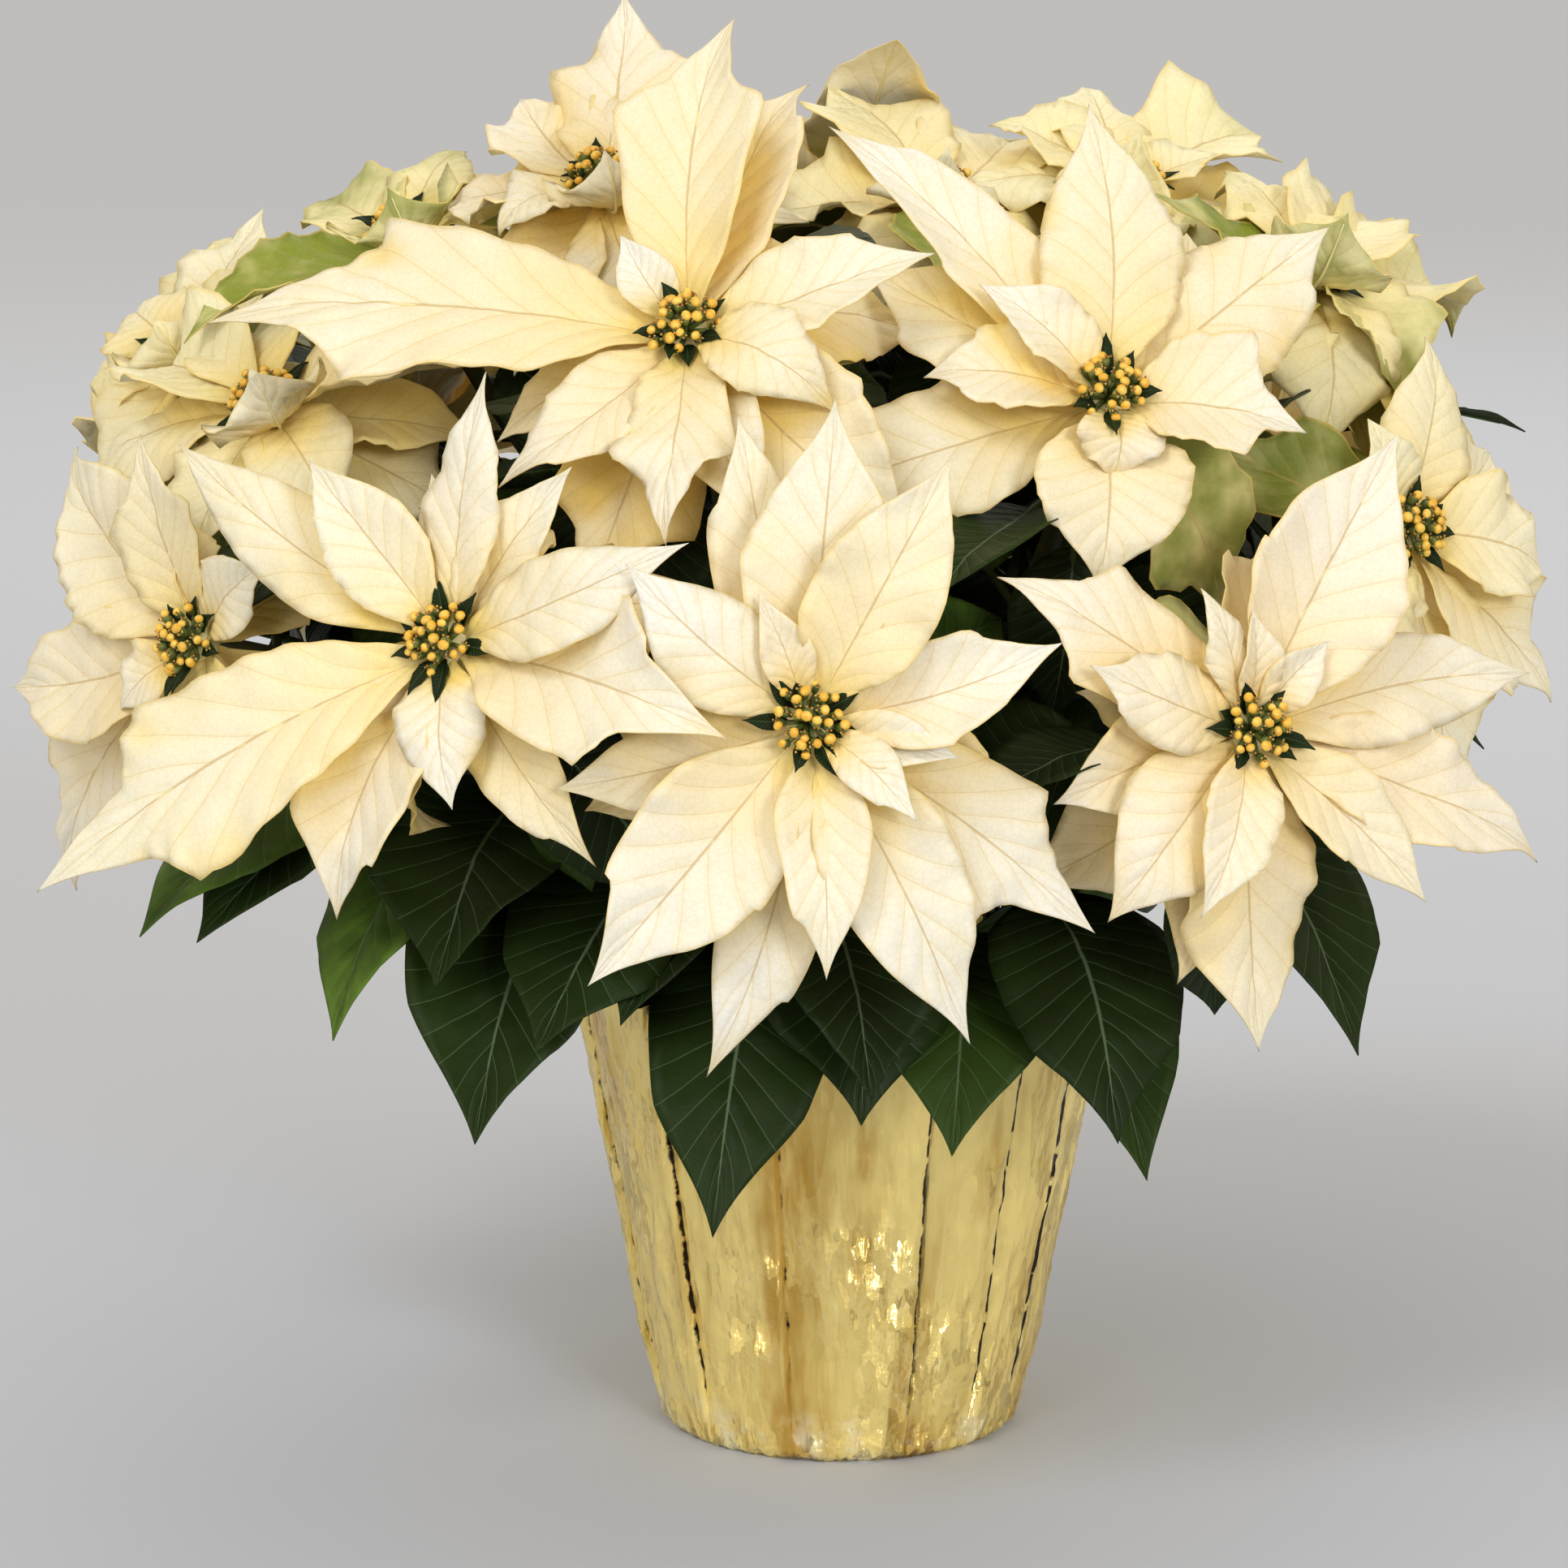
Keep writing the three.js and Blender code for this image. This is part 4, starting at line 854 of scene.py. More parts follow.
def plain_material(name, colour, other, rough, scale, bump=0.3):
    """A skin of one finish with a mottled colour and a fine grain."""
    material, w, skin = new_material(name)
    place = w.object_place()
    grain = w.noise(place, scale)
    w.feed(skin["Base Color"], w.blend(w.fade(grain, 0.35, 0.7), colour, other))
    w.feed(skin["Roughness"], w.between(grain, rough - 0.08, rough + 0.08))
    w.feed(skin["Normal"], w.relief(w.noise(place, scale * 3), bump, 0.0004))
    return material


def foil_facets():
    """A group for crumpled foil: flat facets with their own lean and painted reflection tone, and the edges
    between them.
    """
    outputs = ["Lean X", "Lean Y", "Lean Z", "Painted facet light", "Edges"]
    tree, w, given, result = new_group("foil facets", ["Upright", "Cells", "Wander"], outputs)
    squeeze = w.add("CombineXYZ", {"X": 1.0, "Y": 1.0, "Z": given["Upright"]}).outputs["Vector"]
    tall = w.vector("MULTIPLY", w.object_place(), squeeze)
    drift = w.add("TexNoise", {"Vector": tall, "Scale": given["Cells"], "Detail": 2.0}).outputs["Color"]
    reach = w.add("CombineXYZ", {axis: given["Wander"] for axis in "XYZ"}).outputs["Vector"]
    cells = {"Vector": w.vector("MULTIPLY_ADD", drift, reach, tall), "Scale": given["Cells"]}
    lean = w.add("SeparateXYZ", {"Vector": w.add("TexVoronoi", cells).outputs["Color"]}).outputs
    for axis in "XYZ":
        w.feed(result["Lean " + axis], w.math("SUBTRACT", lean[axis], 0.5))
    # Each facet's painted reflection: a tone that makes it lighter or darker, as if it caught more or less
    # light.
    w.feed(result["Painted facet light"], w.math("FRACT", w.times(w.math("ADD", lean["X"], lean["Z"]), 3.7)))
    edge = w.add("TexVoronoi", cells, feature="DISTANCE_TO_EDGE")
    w.feed(result["Edges"], w.fade(edge.outputs["Distance"], 0.07, 0.0))
    return tree


# The foil's paints: a painted reflection that runs from the dark gold to the lit gold, painted shade in the
# creases of the facets, painted glints on their ridges and at the foot, and the painted shadow under the
# folds.
GOLD_AND_PAINTED_LIGHT = {
    "colour": (0.55, 0.31, 0.035, 1), "light": (1.0, 0.79, 0.28, 1), "dent": (0.36, 0.19, 0.02, 1),
    "painted_glint": (1.0, 0.93, 0.62, 1), "pale": (1.0, 0.94, 0.7, 1), "fold": (0.02, 0.01, 0.003, 1),
}


def foil_facing(w, long, short, crumpled):
    """The way that each facet of the foil faces."""
    leans = {}
    for axis in "XYZ":
        creased = w.times(short["Lean " + axis], crumpled, 0.75)
        leans[axis] = w.times_plus(long["Lean " + axis], 0.3, creased)
    lean = w.add("CombineXYZ", leans).outputs["Vector"]
    return w.vector("NORMALIZE", w.vector("ADD", w.add("NewGeometry").outputs["Normal"], lean))


def foil_material():
    """Gold foil: long satin facets and crumpled zones with a painted reflection on them, painted glints on
    the ridges, and a painted shadow in the folds between its pleats.
    """
    material, w, skin = new_material("gold foil")
    place = w.object_place()
    facets = foil_facets()
    long = placed(w, facets, Upright=0.07, Cells=75.0, Wander=0.004)
    short = placed(w, facets, Upright=0.38, Cells=230.0, Wander=0.011)
    at_foot = w.fade(w.add("SeparateXYZ", {"Vector": place}).outputs["Z"], 0.022, 0.006)
    zones = w.fade(w.noise(place, 24.0, 1.0), 0.44, 0.6)
    crumpled = w.math("MAXIMUM", w.times_plus(zones, 0.8, 0.2), at_foot)
    upright = w.add("Mapping", {"Vector": place, "Scale": (1.0, 1.0, 0.035)}).outputs["Vector"]
    # Painted reflection: broad upright bands, fine streaks and the facets' tones make the gold lighter or
    # darker. The streaks also raise the relief.
    reflection_bands = w.fade(w.noise(upright, 34.0, 1.0), 0.3, 0.62)
    streaks = w.fade(w.noise(upright, 150.0), 0.3, 0.7)
    painted_reflection = w.times_plus(long["Painted facet light"], 0.28, w.times_plus(reflection_bands, 0.5, w.times(streaks, 0.34)))
    painted_reflection = w.times_plus(w.times(w.math("SUBTRACT", short["Painted facet light"], 0.45), crumpled), 0.2, painted_reflection)
    edges = w.times(short["Edges"], crumpled)
    # Painted glints on some of the crumples' edges, and painted shade in the creases of the others.
    glint_mask = w.fade(w.noise(place, 90.0), 0.5, 0.6)
    # The painted shadow under each fold, as a jagged and broken line.
    jagged = w.math("ADD", w.attribute("fold"), w.times_plus(w.noise(place, 200.0), 1.2, -0.6))
    broken_shadow = w.fade(w.noise(place, 160.0), 0.36, 0.44)
    w.feed(skin["Base Color"], w.coats(GOLD_AND_PAINTED_LIGHT, [
        (w.fade(painted_reflection, -0.05, 0.72), "light"),
        (w.times(edges, w.math("SUBTRACT", 1.0, glint_mask), 0.15), "dent"),
        (w.times(edges, glint_mask, 0.25), "painted_glint"),
        # Painted glints at the crumpled foot.
        (w.times(at_foot, w.fade(w.noise(place, 75.0), 0.48, 0.62), 0.55), "pale"),
        (w.times(w.fade(jagged, 0.5, 0.8), broken_shadow), "fold"),
    ]))
    w.feed(skin["Roughness"], w.between(w.noise(place, 50.0, 4.0), 0.16, 0.34))
    skin["Metallic"].default_value = 0.5
    height = w.math("ADD", streaks, w.times(w.noise(place, 240.0), crumpled))
    facing = foil_facing(w, long, short, crumpled)
    w.feed(skin["Normal"], w.relief(height, 0.7, 0.0009, Normal=facing))
    return material


MATERIAL = {
    "bract": blade_material("cream bract", {
        "pairs": float(BRACT["pairs"]), "sweep": BRACT["sweep"], "cells": 420.0,
        "colour": (0.85, 0.845, 0.79, 1), "mottle": (0.85, 0.82, 0.7, 1), "young": (0.88, 0.79, 0.34, 1),
        # The ochre at the end of the next line paints the bracts' shade, and their margins.
        "green": (0.22, 0.27, 0.025, 1), "blush": (0.93, 0.74, 0.5, 1), "warm_tone_and_shade": (0.9, 0.65, 0.17, 1),
        "vein": (0.55, 0.37, 0.13, 1), "stalk": (0.84, 0.74, 0.36, 1),
        "painted_crease_shade_share": 0.12, "tone_and_painted_shade_share": 1.0, "net_share": 0.12, "side_share": 0.3,
        "rib_share": 0.65, "margin_share": 0.5, "rough": (0.42, 0.6),
        "grain": 420.0, "grain_relief": 0.9, "bump": 0.36, "specular": 0.3,
    }),
    "leaf": blade_material("dark leaf", {
        "pairs": float(LEAF["pairs"]), "sweep": LEAF["sweep"],
        "colour": (0.009, 0.016, 0.0035, 1), "mottle": (0.012, 0.023, 0.0045, 1),
        "young": (0.05, 0.1, 0.012, 1), "green": (0.14, 0.25, 0.03, 1), "blush": (0.1, 0.05, 0.03, 1),
        "warm_tone_and_shade": (0.025, 0.035, 0.007, 1), "vein": (0.11, 0.16, 0.08, 1), "stalk": (0.06, 0.09, 0.025, 1),
        "painted_crease_shade_share": 0.0, "tone_and_painted_shade_share": 0.3, "side_share": 0.55, "rib_share": 0.9,
        "margin_share": 0.0, "rough": (0.42, 0.55),
        "grain": 700.0, "grain_relief": 0.4, "bump": 0.45, "specular": 0.13,
    }),
    "cup": plain_material("green cup", (0.06, 0.09, 0.016, 1), (0.2, 0.22, 0.04, 1), 0.45, 300.0),
    "gland": plain_material("yellow gland", (0.82, 0.42, 0.03, 1), (0.93, 0.66, 0.13, 1), 0.3, 400.0),
    "stamen": plain_material("red stamen", (0.35, 0.12, 0.02, 1), (0.7, 0.42, 0.08, 1), 0.6, 500.0),
    "bark": plain_material("stem", (0.055, 0.075, 0.022, 1), (0.1, 0.085, 0.04, 1), 0.6, 150.0, bump=0.5),
    "soil": plain_material(
        "peat mix", (0.035, 0.02, 0.011, 1), (0.075, 0.045, 0.026, 1), 0.95, 220.0, bump=1.0
    ),
    "perlite": plain_material("perlite", (0.8, 0.78, 0.72, 1), (0.6, 0.57, 0.5, 1), 0.85, 500.0),
    "pot": plain_material("brown pot", (0.2, 0.06, 0.03, 1), (0.24, 0.075, 0.04, 1), 0.55, 90.0, bump=0.1),
    "foil": foil_material(),
}

# ---------------------------------------------------------------- pieces


def new_piece_mesh():
    """An empty mesh with the layers that the blades and stems carry."""
    bm = bmesh.new()
    bm.loops.layers.uv.new("blade")
    for name in ("tint", "blush", "warm_tone_and_shade", "stalk"):
        bm.verts.layers.float.new(name)
    return bm


def in_scene(name, data):
    """A new object of the scene."""
    made = bpy.data.objects.new(name, data)
    bpy.context.scene.collection.objects.link(made)
    return made


def close_piece(bm, name, materials, slot, *nodes):
    """Turns a finished mesh to metres and makes it the piece that stands for its solids."""
    bmesh.ops.scale(bm, vec=(1 / METRE, 1 / METRE, 1 / METRE), verts=bm.verts)
    for face in bm.faces:
        face.smooth = True
    mesh = bpy.data.meshes.new(name)
    bm.to_mesh(mesh)
    bm.free()
    for material in materials:
        mesh.materials.append(MATERIAL[material])
    piece = in_scene(name, mesh)
    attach(piece, "root")
    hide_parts(*nodes)
    return piece


@contextmanager
def painted(bm, index):
    """Gives the faces that are made meanwhile the material with that index."""
    before = len(bm.faces)
    yield
    bm.faces.ensure_lookup_table()
    for face in bm.faces[before:]:
        face.material_index = index


def corners_of(node):
    """A search tree of a solid's corners, in millimetres."""
    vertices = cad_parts[node].data.vertices
    tree = KDTree(len(vertices))
    for i, vertex in enumerate(vertices):
        tree.insert(vertex.co * METRE, i)
    tree.balance()
    return tree


def as_grown(make, corners):
    """The blade as its solid was bent clear: the one whose tip is a corner of the solid."""
    for share in SHORTENED:
        for lift, clock, bend in BENDS_CLEAR:
            blade = make(lift, clock, bend, share)
            if corners.find(blade.tip)[2] < TIP_MATCH:
                return blade
    return make(0, 0, 0, 1)


def spun(bm, profile, steps):
    """Adds the round surface that a line of radius and height makes, and gives its corners."""
    known = set(bm.verts)
    verts = [bm.verts.new((r, 0, z)) for r, z in profile]
    edges = [bm.edges.new(pair) for pair in zip(verts, verts[1:])]
    bmesh.ops.spin(
        bm, geom=verts + edges, cent=(0, 0, 0), axis=UP, angle=2 * math.pi, steps=steps, use_merge=True
    )
    return [vert for vert in bm.verts if vert not in known]


def close_round(bm, verts):
    """Joins the seam and the poles of a sheet that was laid round an axis."""
    bmesh.ops.remove_doubles(bm, verts=verts, dist=WELD["round"])
    bmesh.ops.recalc_face_normals(bm, faces=bm.faces)


# ---------------------------------------------------------------- what grows more, where there is room


def feeler(blade, clearance, start):
    """A coarse double sheet round a blade, to feel whether it would meet its neighbours."""
    place = Sheet(blade).place
    bm = bmesh.new()
    for gap in (-clearance, clearance):
        made = bmesh.ops.create_grid(bm, x_segments=4, y_segments=6, size=0.5)
        for vert in made["verts"]:
            s = mixed(start, 1, vert.co.y + 0.5)
            lift = blade.side.cross(blade.ahead(mixed(blade.habit["from"], 1, s))) * gap
            vert.co = place(s, 2 * vert.co.x) + lift
    tree = BVHTree.FromBMesh(bm)
    bm.free()
    return tree


def standing_solids():
    """The solids of all pieces as one tree that a new blade is felt against."""
    bm = bmesh.new()
    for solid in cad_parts.values():
        bm.from_mesh(solid.data)
    bmesh.ops.scale(bm, vec=(METRE, METRE, METRE), verts=bm.verts)
    tree = BVHTree.FromBMesh(bm)
    bm.free()
    return tree


def inside_canopy(at):
    """Whether a place is within the rounded outline of the whole plant."""
    x, y, z = CANOPY["size"]
    off = at - Vector(CANOPY["middle"])
    return (off.x / x) ** 2 + (off.y / y) ** 2 + (off.z / z) ** 2 < 1


def first_with_room(bloom, kind, standing, root, clock, size, bend, outline, seed):
    """A blade in the first of its sizes and ways that meets nothing. It then stands there for the next."""
    filling = FILLING[kind]
    habit = {"leaf": LEAF, "bract": BRACT}[kind]
    for share, lift, swing in itertools.product(filling["sizes"], filling["lifts"], filling["swings"]):
        springs = tilted(bloom.turned(clock + swing), bloom.axis, lift)
        width = FILLING_WIDTH * size * share
        blade = Blade(root, springs, size * share, width, bend, outline, habit, seed)
        if not inside_canopy(blade.tip):
            continue
        touch = feeler(blade, filling["clearance"], filling["from"])
        if not any(touch.overlap(tree) for tree in standing):
            standing.append(touch)
            return [blade]
    return []


def filling_leaves(bloom, standing):
    """The ring of leaves close under a bloom's bracts, where there is room for them."""
    grown = []
    for k in range(FILLING["leaf"]["count"]):
        seed = bloom.index * 59 + k * 3 + 7
        root = bloom.branch(0.9 - 0.05 * k + 0.02 * scatter(seed, 1))
        clock = GOLDEN_TURN * k + 40 * bloom.index
        size = 86 + 10 * scatter(seed, 2)
        grown += first_with_room(bloom, "leaf", standing, root, clock, size, 34, "leaf", seed)
    return grown


def filling_bracts(bloom, standing):
    """The bracts of a bloom's lowest, loosest whorl, where there is room for them."""
    grown = []
    for k in range(FILLING["bract"]["count"]):
        seed = bloom.index * 61 + k * 5 + 900
        root = bloom.centre - bloom.axis * (KNOB["height"] * 0.75)
        clock = GOLDEN_TURN * k + 70 * bloom.index
        size = 78 + 14 * scatter(seed, 2)
        bend = 35 + 30 * scatter(seed, 3)
        outline = "lobed" if scatter(seed, 5) > 0.3 else "bract"
        grown += first_with_room(bloom, "bract", standing, root, clock, size, bend, outline, seed)
    return grown


# ---------------------------------------------------------------- blooms


def whorled_rows(seed):
    """The bract rows of a bloom that grows by rule."""
    rows = []
    for tier, whorl in enumerate(WHORLS):
        for i in range(whorl["count"]):
            draw = lambda n: scatter(seed * 31 + tier * 7 + i, n)
            rows.append((
                whorl["first"] + seed * 23 + 360 / whorl["count"] * i + 9 * draw(1),
                whorl["length"] * (1 + whorl["spread"] * draw(2)),
                whorl["width"] * (1 + whorl["spread"] * draw(3)),
                whorl["lift"] + 4 * draw(4) + WHORL_LAYER * (i % 2),
                whorl["bend"] + 14 * draw(5),
                1 if draw(6) > 0.2 and tier == 0 else 0,
            ))
    return rows


def bract_blade(bloom, row, seed):
    """A bract of a bloom, from its row, as a function of how it was bent clear."""
    clock, length, width, lift, bend, lobe = row
    outline = "small" if length < SMALL_BRACT else "lobed" if lobe else "bract"
    layer = clamp(lift / ROOT_LAYER["lift"], ROOT_LAYER["lowest"], ROOT_LAYER["highest"])
    habit = RUFFLED_BRACT if bloom.name in RUFFLED_BLOOMS else BRACT

    def make(more_lift, more_clock, more_bend, share):
        out = bloom.turned(clock + more_clock)
        springs = tilted(out, bloom.axis, lift + more_lift)
        root = bloom.centre + bloom.axis * (layer - KNOB["height"] / 2) + out * KNOB["root_at"]
        return Blade(root, springs, length * share, width, bend + more_bend, outline, habit, seed)

    return make


def own_bracts(bloom):
    """The bracts that a bloom's solid has, each with its tint, blush and base of painted shade."""
    corners = corners_of("bracts_" + bloom.name)
    for i, row in enumerate(BRACTS.get(bloom.name) or whorled_rows(bloom.index)):
        seed = bloom.index * 17 + i
        green = clamp(bloom.green + 0.18 * drawn("green", seed), 0, 0.8)
        tint = lambda along, across: clamp(green * mixed(0.6, 1, along) + 0.3 * (1 - along) ** 7, 0, 1)
        blush = clamp(bloom.blush + 0.2 * drawn("blush", seed), 0, 1)
        yield as_grown(bract_blade(bloom, row, seed), corners), tint, blush, 0.1 + 0.1 * drawn("warm_tone_and_shade", seed)


def loose_bracts(bloom, standing):
    """The bracts that a bloom grows more, some of them half leaf, each with its tint, blush and a larger
    base of painted shade.
    """
    for blade in filling_bracts(bloom, standing):
        turning = drawn("turning", blade.seed) > 0.35
        green = clamp(1.3 * bloom.green + 0.3 * drawn("green", blade.seed) + (0.9 if turning else 0), 0, 1)
        tint = lambda along, across: clamp(green * mixed(1, 0.75 if turning else 0.4, along), 0, 1)
        yield blade, tint, bloom.blush, 0.2 + 0.1 * drawn("warm_tone_and_shade", blade.seed)


def build_bracts(bloom, standing):
    bm = new_piece_mesh()
    own_pitch = PITCH["front" if bloom.name in FRONT_BLOOMS else "other"]
    for pitch, bracts in ((own_pitch, own_bracts(bloom)), (PITCH["other"], loose_bracts(bloom, standing))):
        for blade, *tints in bracts:
            grow_sheet(bm, blade, pitch, *tints, standing[0])
            grow_rib(bm, blade, *RIB["bract"])
    knob_line = lambda t: (bloom.centre - bloom.axis * (KNOB["height"] * (1 - t)), bloom.axis)
    grow_tube(bm, knob_line, lambda t: mixed(KNOB["foot"], KNOB["radius"], t), 3, 14, 1.0)
    close_piece(bm, bloom.name + "_cream_bracts", ["bract"], "bract", "bracts_" + bloom.name)


def grow_cyathium(bm, foot, ahead, size, seed):
    """Adds one cyathium: a green cup with a yellow gland on its side and stamens in its mouth."""
    turn = ahead.to_track_quat("Z", "Y").to_matrix().to_4x4()
    twist = Matrix.Rotation(3.0 * scatter(seed, 1), 4, "Z")
    local = Matrix.Translation(foot) @ turn @ twist @ Matrix.Scale(size, 4)
    cup = spun(bm, CYATHIUM["cup"], CYATHIUM["sides"])
    bmesh.ops.holes_fill(bm, edges=[edge for edge in bm.edges if edge.is_boundary])
    bmesh.ops.recalc_face_normals(bm, faces=faces_round(cup))
    bmesh.ops.transform(bm, matrix=local, verts=cup)
    with painted(bm, 1):
        lip = local @ Matrix.Translation(CYATHIUM["gland_at"]) @ Matrix.Diagonal(CYATHIUM["gland"])
        bmesh.ops.create_uvsphere(bm, u_segments=9, v_segments=6, radius=1, matrix=lip)
    aside, up = CYATHIUM["stamens_at"]
    with painted(bm, 2):
        for k in range(CYATHIUM["stamens"]):
            ring = Vector((math.cos(2.1 * k), math.sin(2.1 * k), 0)) * CYATHIUM["stamens_ring"]
            place = local @ Matrix.Translation(ring + Vector((aside, 0, up + 0.5 * scatter(seed, k + 2))))
            bmesh.ops.create_icosphere(bm, subdivisions=1, radius=CYATHIUM["stamen"], matrix=place)


def build_cyathia(bloom):
    """The true flowers in a bloom's eye, close together on a dome, in a ruff of small green leaflets."""
    bm = new_piece_mesh()
    seat = bloom.centre + bloom.axis * SEAT_GAP
    for k in range(CLUSTER["flowers"]):
        seed = bloom.index * 41 + k
        share = math.sqrt((k + 0.4) / CLUSTER["flowers"])
        out = bloom.turned(GOLDEN_TURN * k + 12 * scatter(seed, 7))
        height = CLUSTER["height"] * (1 - 0.75 * share * share) + 1.2 * scatter(seed, 8)
        foot = seat + out * (CLUSTER["radius"] - 2.5) * share + bloom.axis * max(height - 1, 0.4)
        ahead = (bloom.axis + out * 0.75 * share).normalized()
        grow_cyathium(bm, foot, ahead, CYATHIUM["size"] + 0.12 * scatter(seed, 9), seed)
        stalk = lambda t: (seat.lerp(foot, t), (foot - seat).normalized())
        grow_tube(bm, stalk, lambda t: 0.8, 2, 5, 1.0)
    with painted(bm, 3):
        for k in range(CLUSTER["leaflets"]):
            seed = bloom.index * 43 + k
            out = bloom.turned(51 * k + 22 * scatter(seed, 1))
            springs = tilted(out, bloom.axis, 42 + 12 * scatter(seed, 2))
            size = CLUSTER["leaflet"] + 4 * scatter(seed, 3), CLUSTER["leaflet_width"]
            leaflet = Blade(seat + out * 5, springs, *size, 35, "bract", BRACT, seed)
            grow_sheet(bm, leaflet, PITCH["leaflet"], lambda along, across: 0.04)
    name = bloom.name + "_cyathia"
    close_piece(bm, name, ["cup", "gland", "stamen", "leaf"], "cyathia", "cyathia_" + bloom.name)


# ---------------------------------------------------------------- leaves and stems


def leaf_blade(root, bearing, lift, bend, length, width, seed):
    """A leaf, as a function of how it was bent clear."""

    def make(more_lift, more_clock, more_bend, share):
        springs = tilted(heading(bearing + more_clock), UP, lift + more_lift)
        wide = width * math.sqrt(share)
        return Blade(root, springs, length * share, wide, bend + more_bend, "leaf", LEAF, seed)

    return make


def hanging_leaf(bloom, row, seed):
    """A leaf that arches over the straight line from its root to where its tip comes."""
    _, up, tip, width, bend = row
    root = on_branch(bloom, up)
    chord = Vector(tip) - root
    slope = math.degrees(math.asin(chord.z / chord.length))
    bearing = math.degrees(math.atan2(chord.x, -chord.y))
    length = chord.length / math.cos(math.radians(bend / 2))
    return leaf_blade(root, bearing, slope + bend / 2, bend, length, width, seed)


def branch_leaf(bloom, row, seed):
    """A leaf that a branch has by rule, with a little scatter."""
    draw = lambda n: scatter(seed, n)
    bearing = math.degrees(math.atan2(bloom.centre.x, -bloom.centre.y))
    return leaf_blade(
        on_branch(bloom, row["up"] + 0.05 * draw(1)),
        bearing + row["beside"] + 14 * draw(3),
        row["lift"] + 8 * draw(2),
        row["bend"] + 12 * draw(4),
        row["length"] * (1 + 0.1 * draw(5)),
        row["width"] * (1 + 0.1 * draw(6)),
        seed,
    )


def leaves_of(plant, blooms):
    """Every leaf that a plant's solid has, as it grew."""
    corners = corners_of("plant_" + plant)
    named = {bloom.name: bloom for bloom in blooms}
    makers = [
        hanging_leaf(named[row[0]], row, seed)
        for seed, row in enumerate(HANGING_LEAVES)
        if named[row[0]].plant == plant
    ]
    for bloom in blooms:
        hanging = sum(row[0] == bloom.name for row in HANGING_LEAVES)
        rows = BRANCH_LEAVES[: max(len(BRANCH_LEAVES) - hanging, 1)]
        if bloom.plant == plant:
            makers += [branch_leaf(bloom, row, bloom.index * 13 + i * 5 + 31) for i, row in enumerate(rows)]
    return [as_grown(make, corners) for make in makers]


def grow_stems(bm, plant, own):
    """Adds a plant's main stem and its branches, swollen at their joints."""
    top = MAIN_STEM["first_branch"] + MAIN_STEM["branch_step"] * (len(own) - 0.5)
    low, high = on_main_stem(plant, MAIN_STEM["foot"]), on_main_stem(plant, top)
    thick = lambda t: mixed(MAIN_STEM["root"], MAIN_STEM["top"], t) * (1 + 0.05 * math.sin(25 * t))
    grow_tube(bm, lambda t: (low.lerp(high, t), UP), thick, 24, 14, 0.0)
    for bloom in own:
        line = lambda t: (bloom.branch(t), bloom.branch_heading(t))
        thick = lambda t: mixed(BRANCH["root"], BRANCH["end"], t) * (1 + 0.07 * math.cos(40 * t) ** 8)
        grow_tube(bm, line, thick, 22, 10, 0.0)


def build_plant(plant, blooms, standing):
    """One plant's stems and leaves."""
    bm = new_piece_mesh()
    own = [bloom for bloom in blooms if bloom.plant == plant]
    with painted(bm, 1):
        grow_stems(bm, plant, own)
    blades = leaves_of(plant, blooms)
    for bloom in own:
        blades += filling_leaves(bloom, standing)
    for blade in blades:
        young = clamp(0.65 * drawn("young", blade.seed) ** 5 + 0.04, 0, 0.65)
        grow_sheet(bm, blade, PITCH["leaf"], lambda along, across: young + 0.08 * across)
        grow_rib(bm, blade, *RIB["leaf"])
    close_piece(bm, plant + "_leafy_plant", ["leaf", "bark"], "leaf", "plant_" + plant)


# ---------------------------------------------------------------- pot, cover and soil


def even_line(corners, rows):
    """Points along a line of corners: every corner, and evenly spaced ones between them."""
    lengths = [math.dist(a, b) for a, b in zip(corners, corners[1:])]
    spare = rows - len(lengths)
    shares = [spare * length / sum(lengths) for length in lengths]
    steps = [int(share) for share in shares]
    by_rest = sorted(range(len(shares)), key=lambda i: steps[i] - shares[i])
    for i in by_rest[: spare - sum(steps)]:
        steps[i] += 1
    points = [corners[0]]
    for a, b, more in zip(corners, corners[1:], steps):
        for i in range(1, more + 2):
            points.append(tuple(mixed(start, end, i / (more + 1)) for start, end in zip(a, b)))
    return points


def foil_line():
    """The line of the sheet, out along its underside and back along its inside: radius and height."""
    foot, corner, wall = COVER["foot"], COVER["corner"], COVER["wall"]
    rim, top = COVER["rim"], COVER["height"]
    return even_line([
        (0, 0), (foot - corner, 0), (foot - 0.8, 2.2), (foot + 0.4, 6), (rim, top),
        (rim - wall / 2, top + wall / 2), (rim - wall, top), (foot + 0.4 - wall, 6), (foot - corner, wall),
        (0, wall),
    ], FOIL["rows"])


def foil_lean(k, z):
    """How far a pleat leans and wavers from its straight line at a height, in degrees."""
    lean = LEAN["foot"] * (1 - z / COVER["height"]) * noise.noise(Vector((k * 1.7, 0, 0)))
    for most, pace in LEAN["wavers"]:
        lean += most * noise.noise(Vector((k * 2.3, z * pace, 1)))
    return lean


def spot_on(out, z, pattern):
    """A place in one of the foil's patterns, for a heading and a height."""
    return Vector((out.x * pattern["spread"], out.y * pattern["spread"], z * pattern["squash"]))


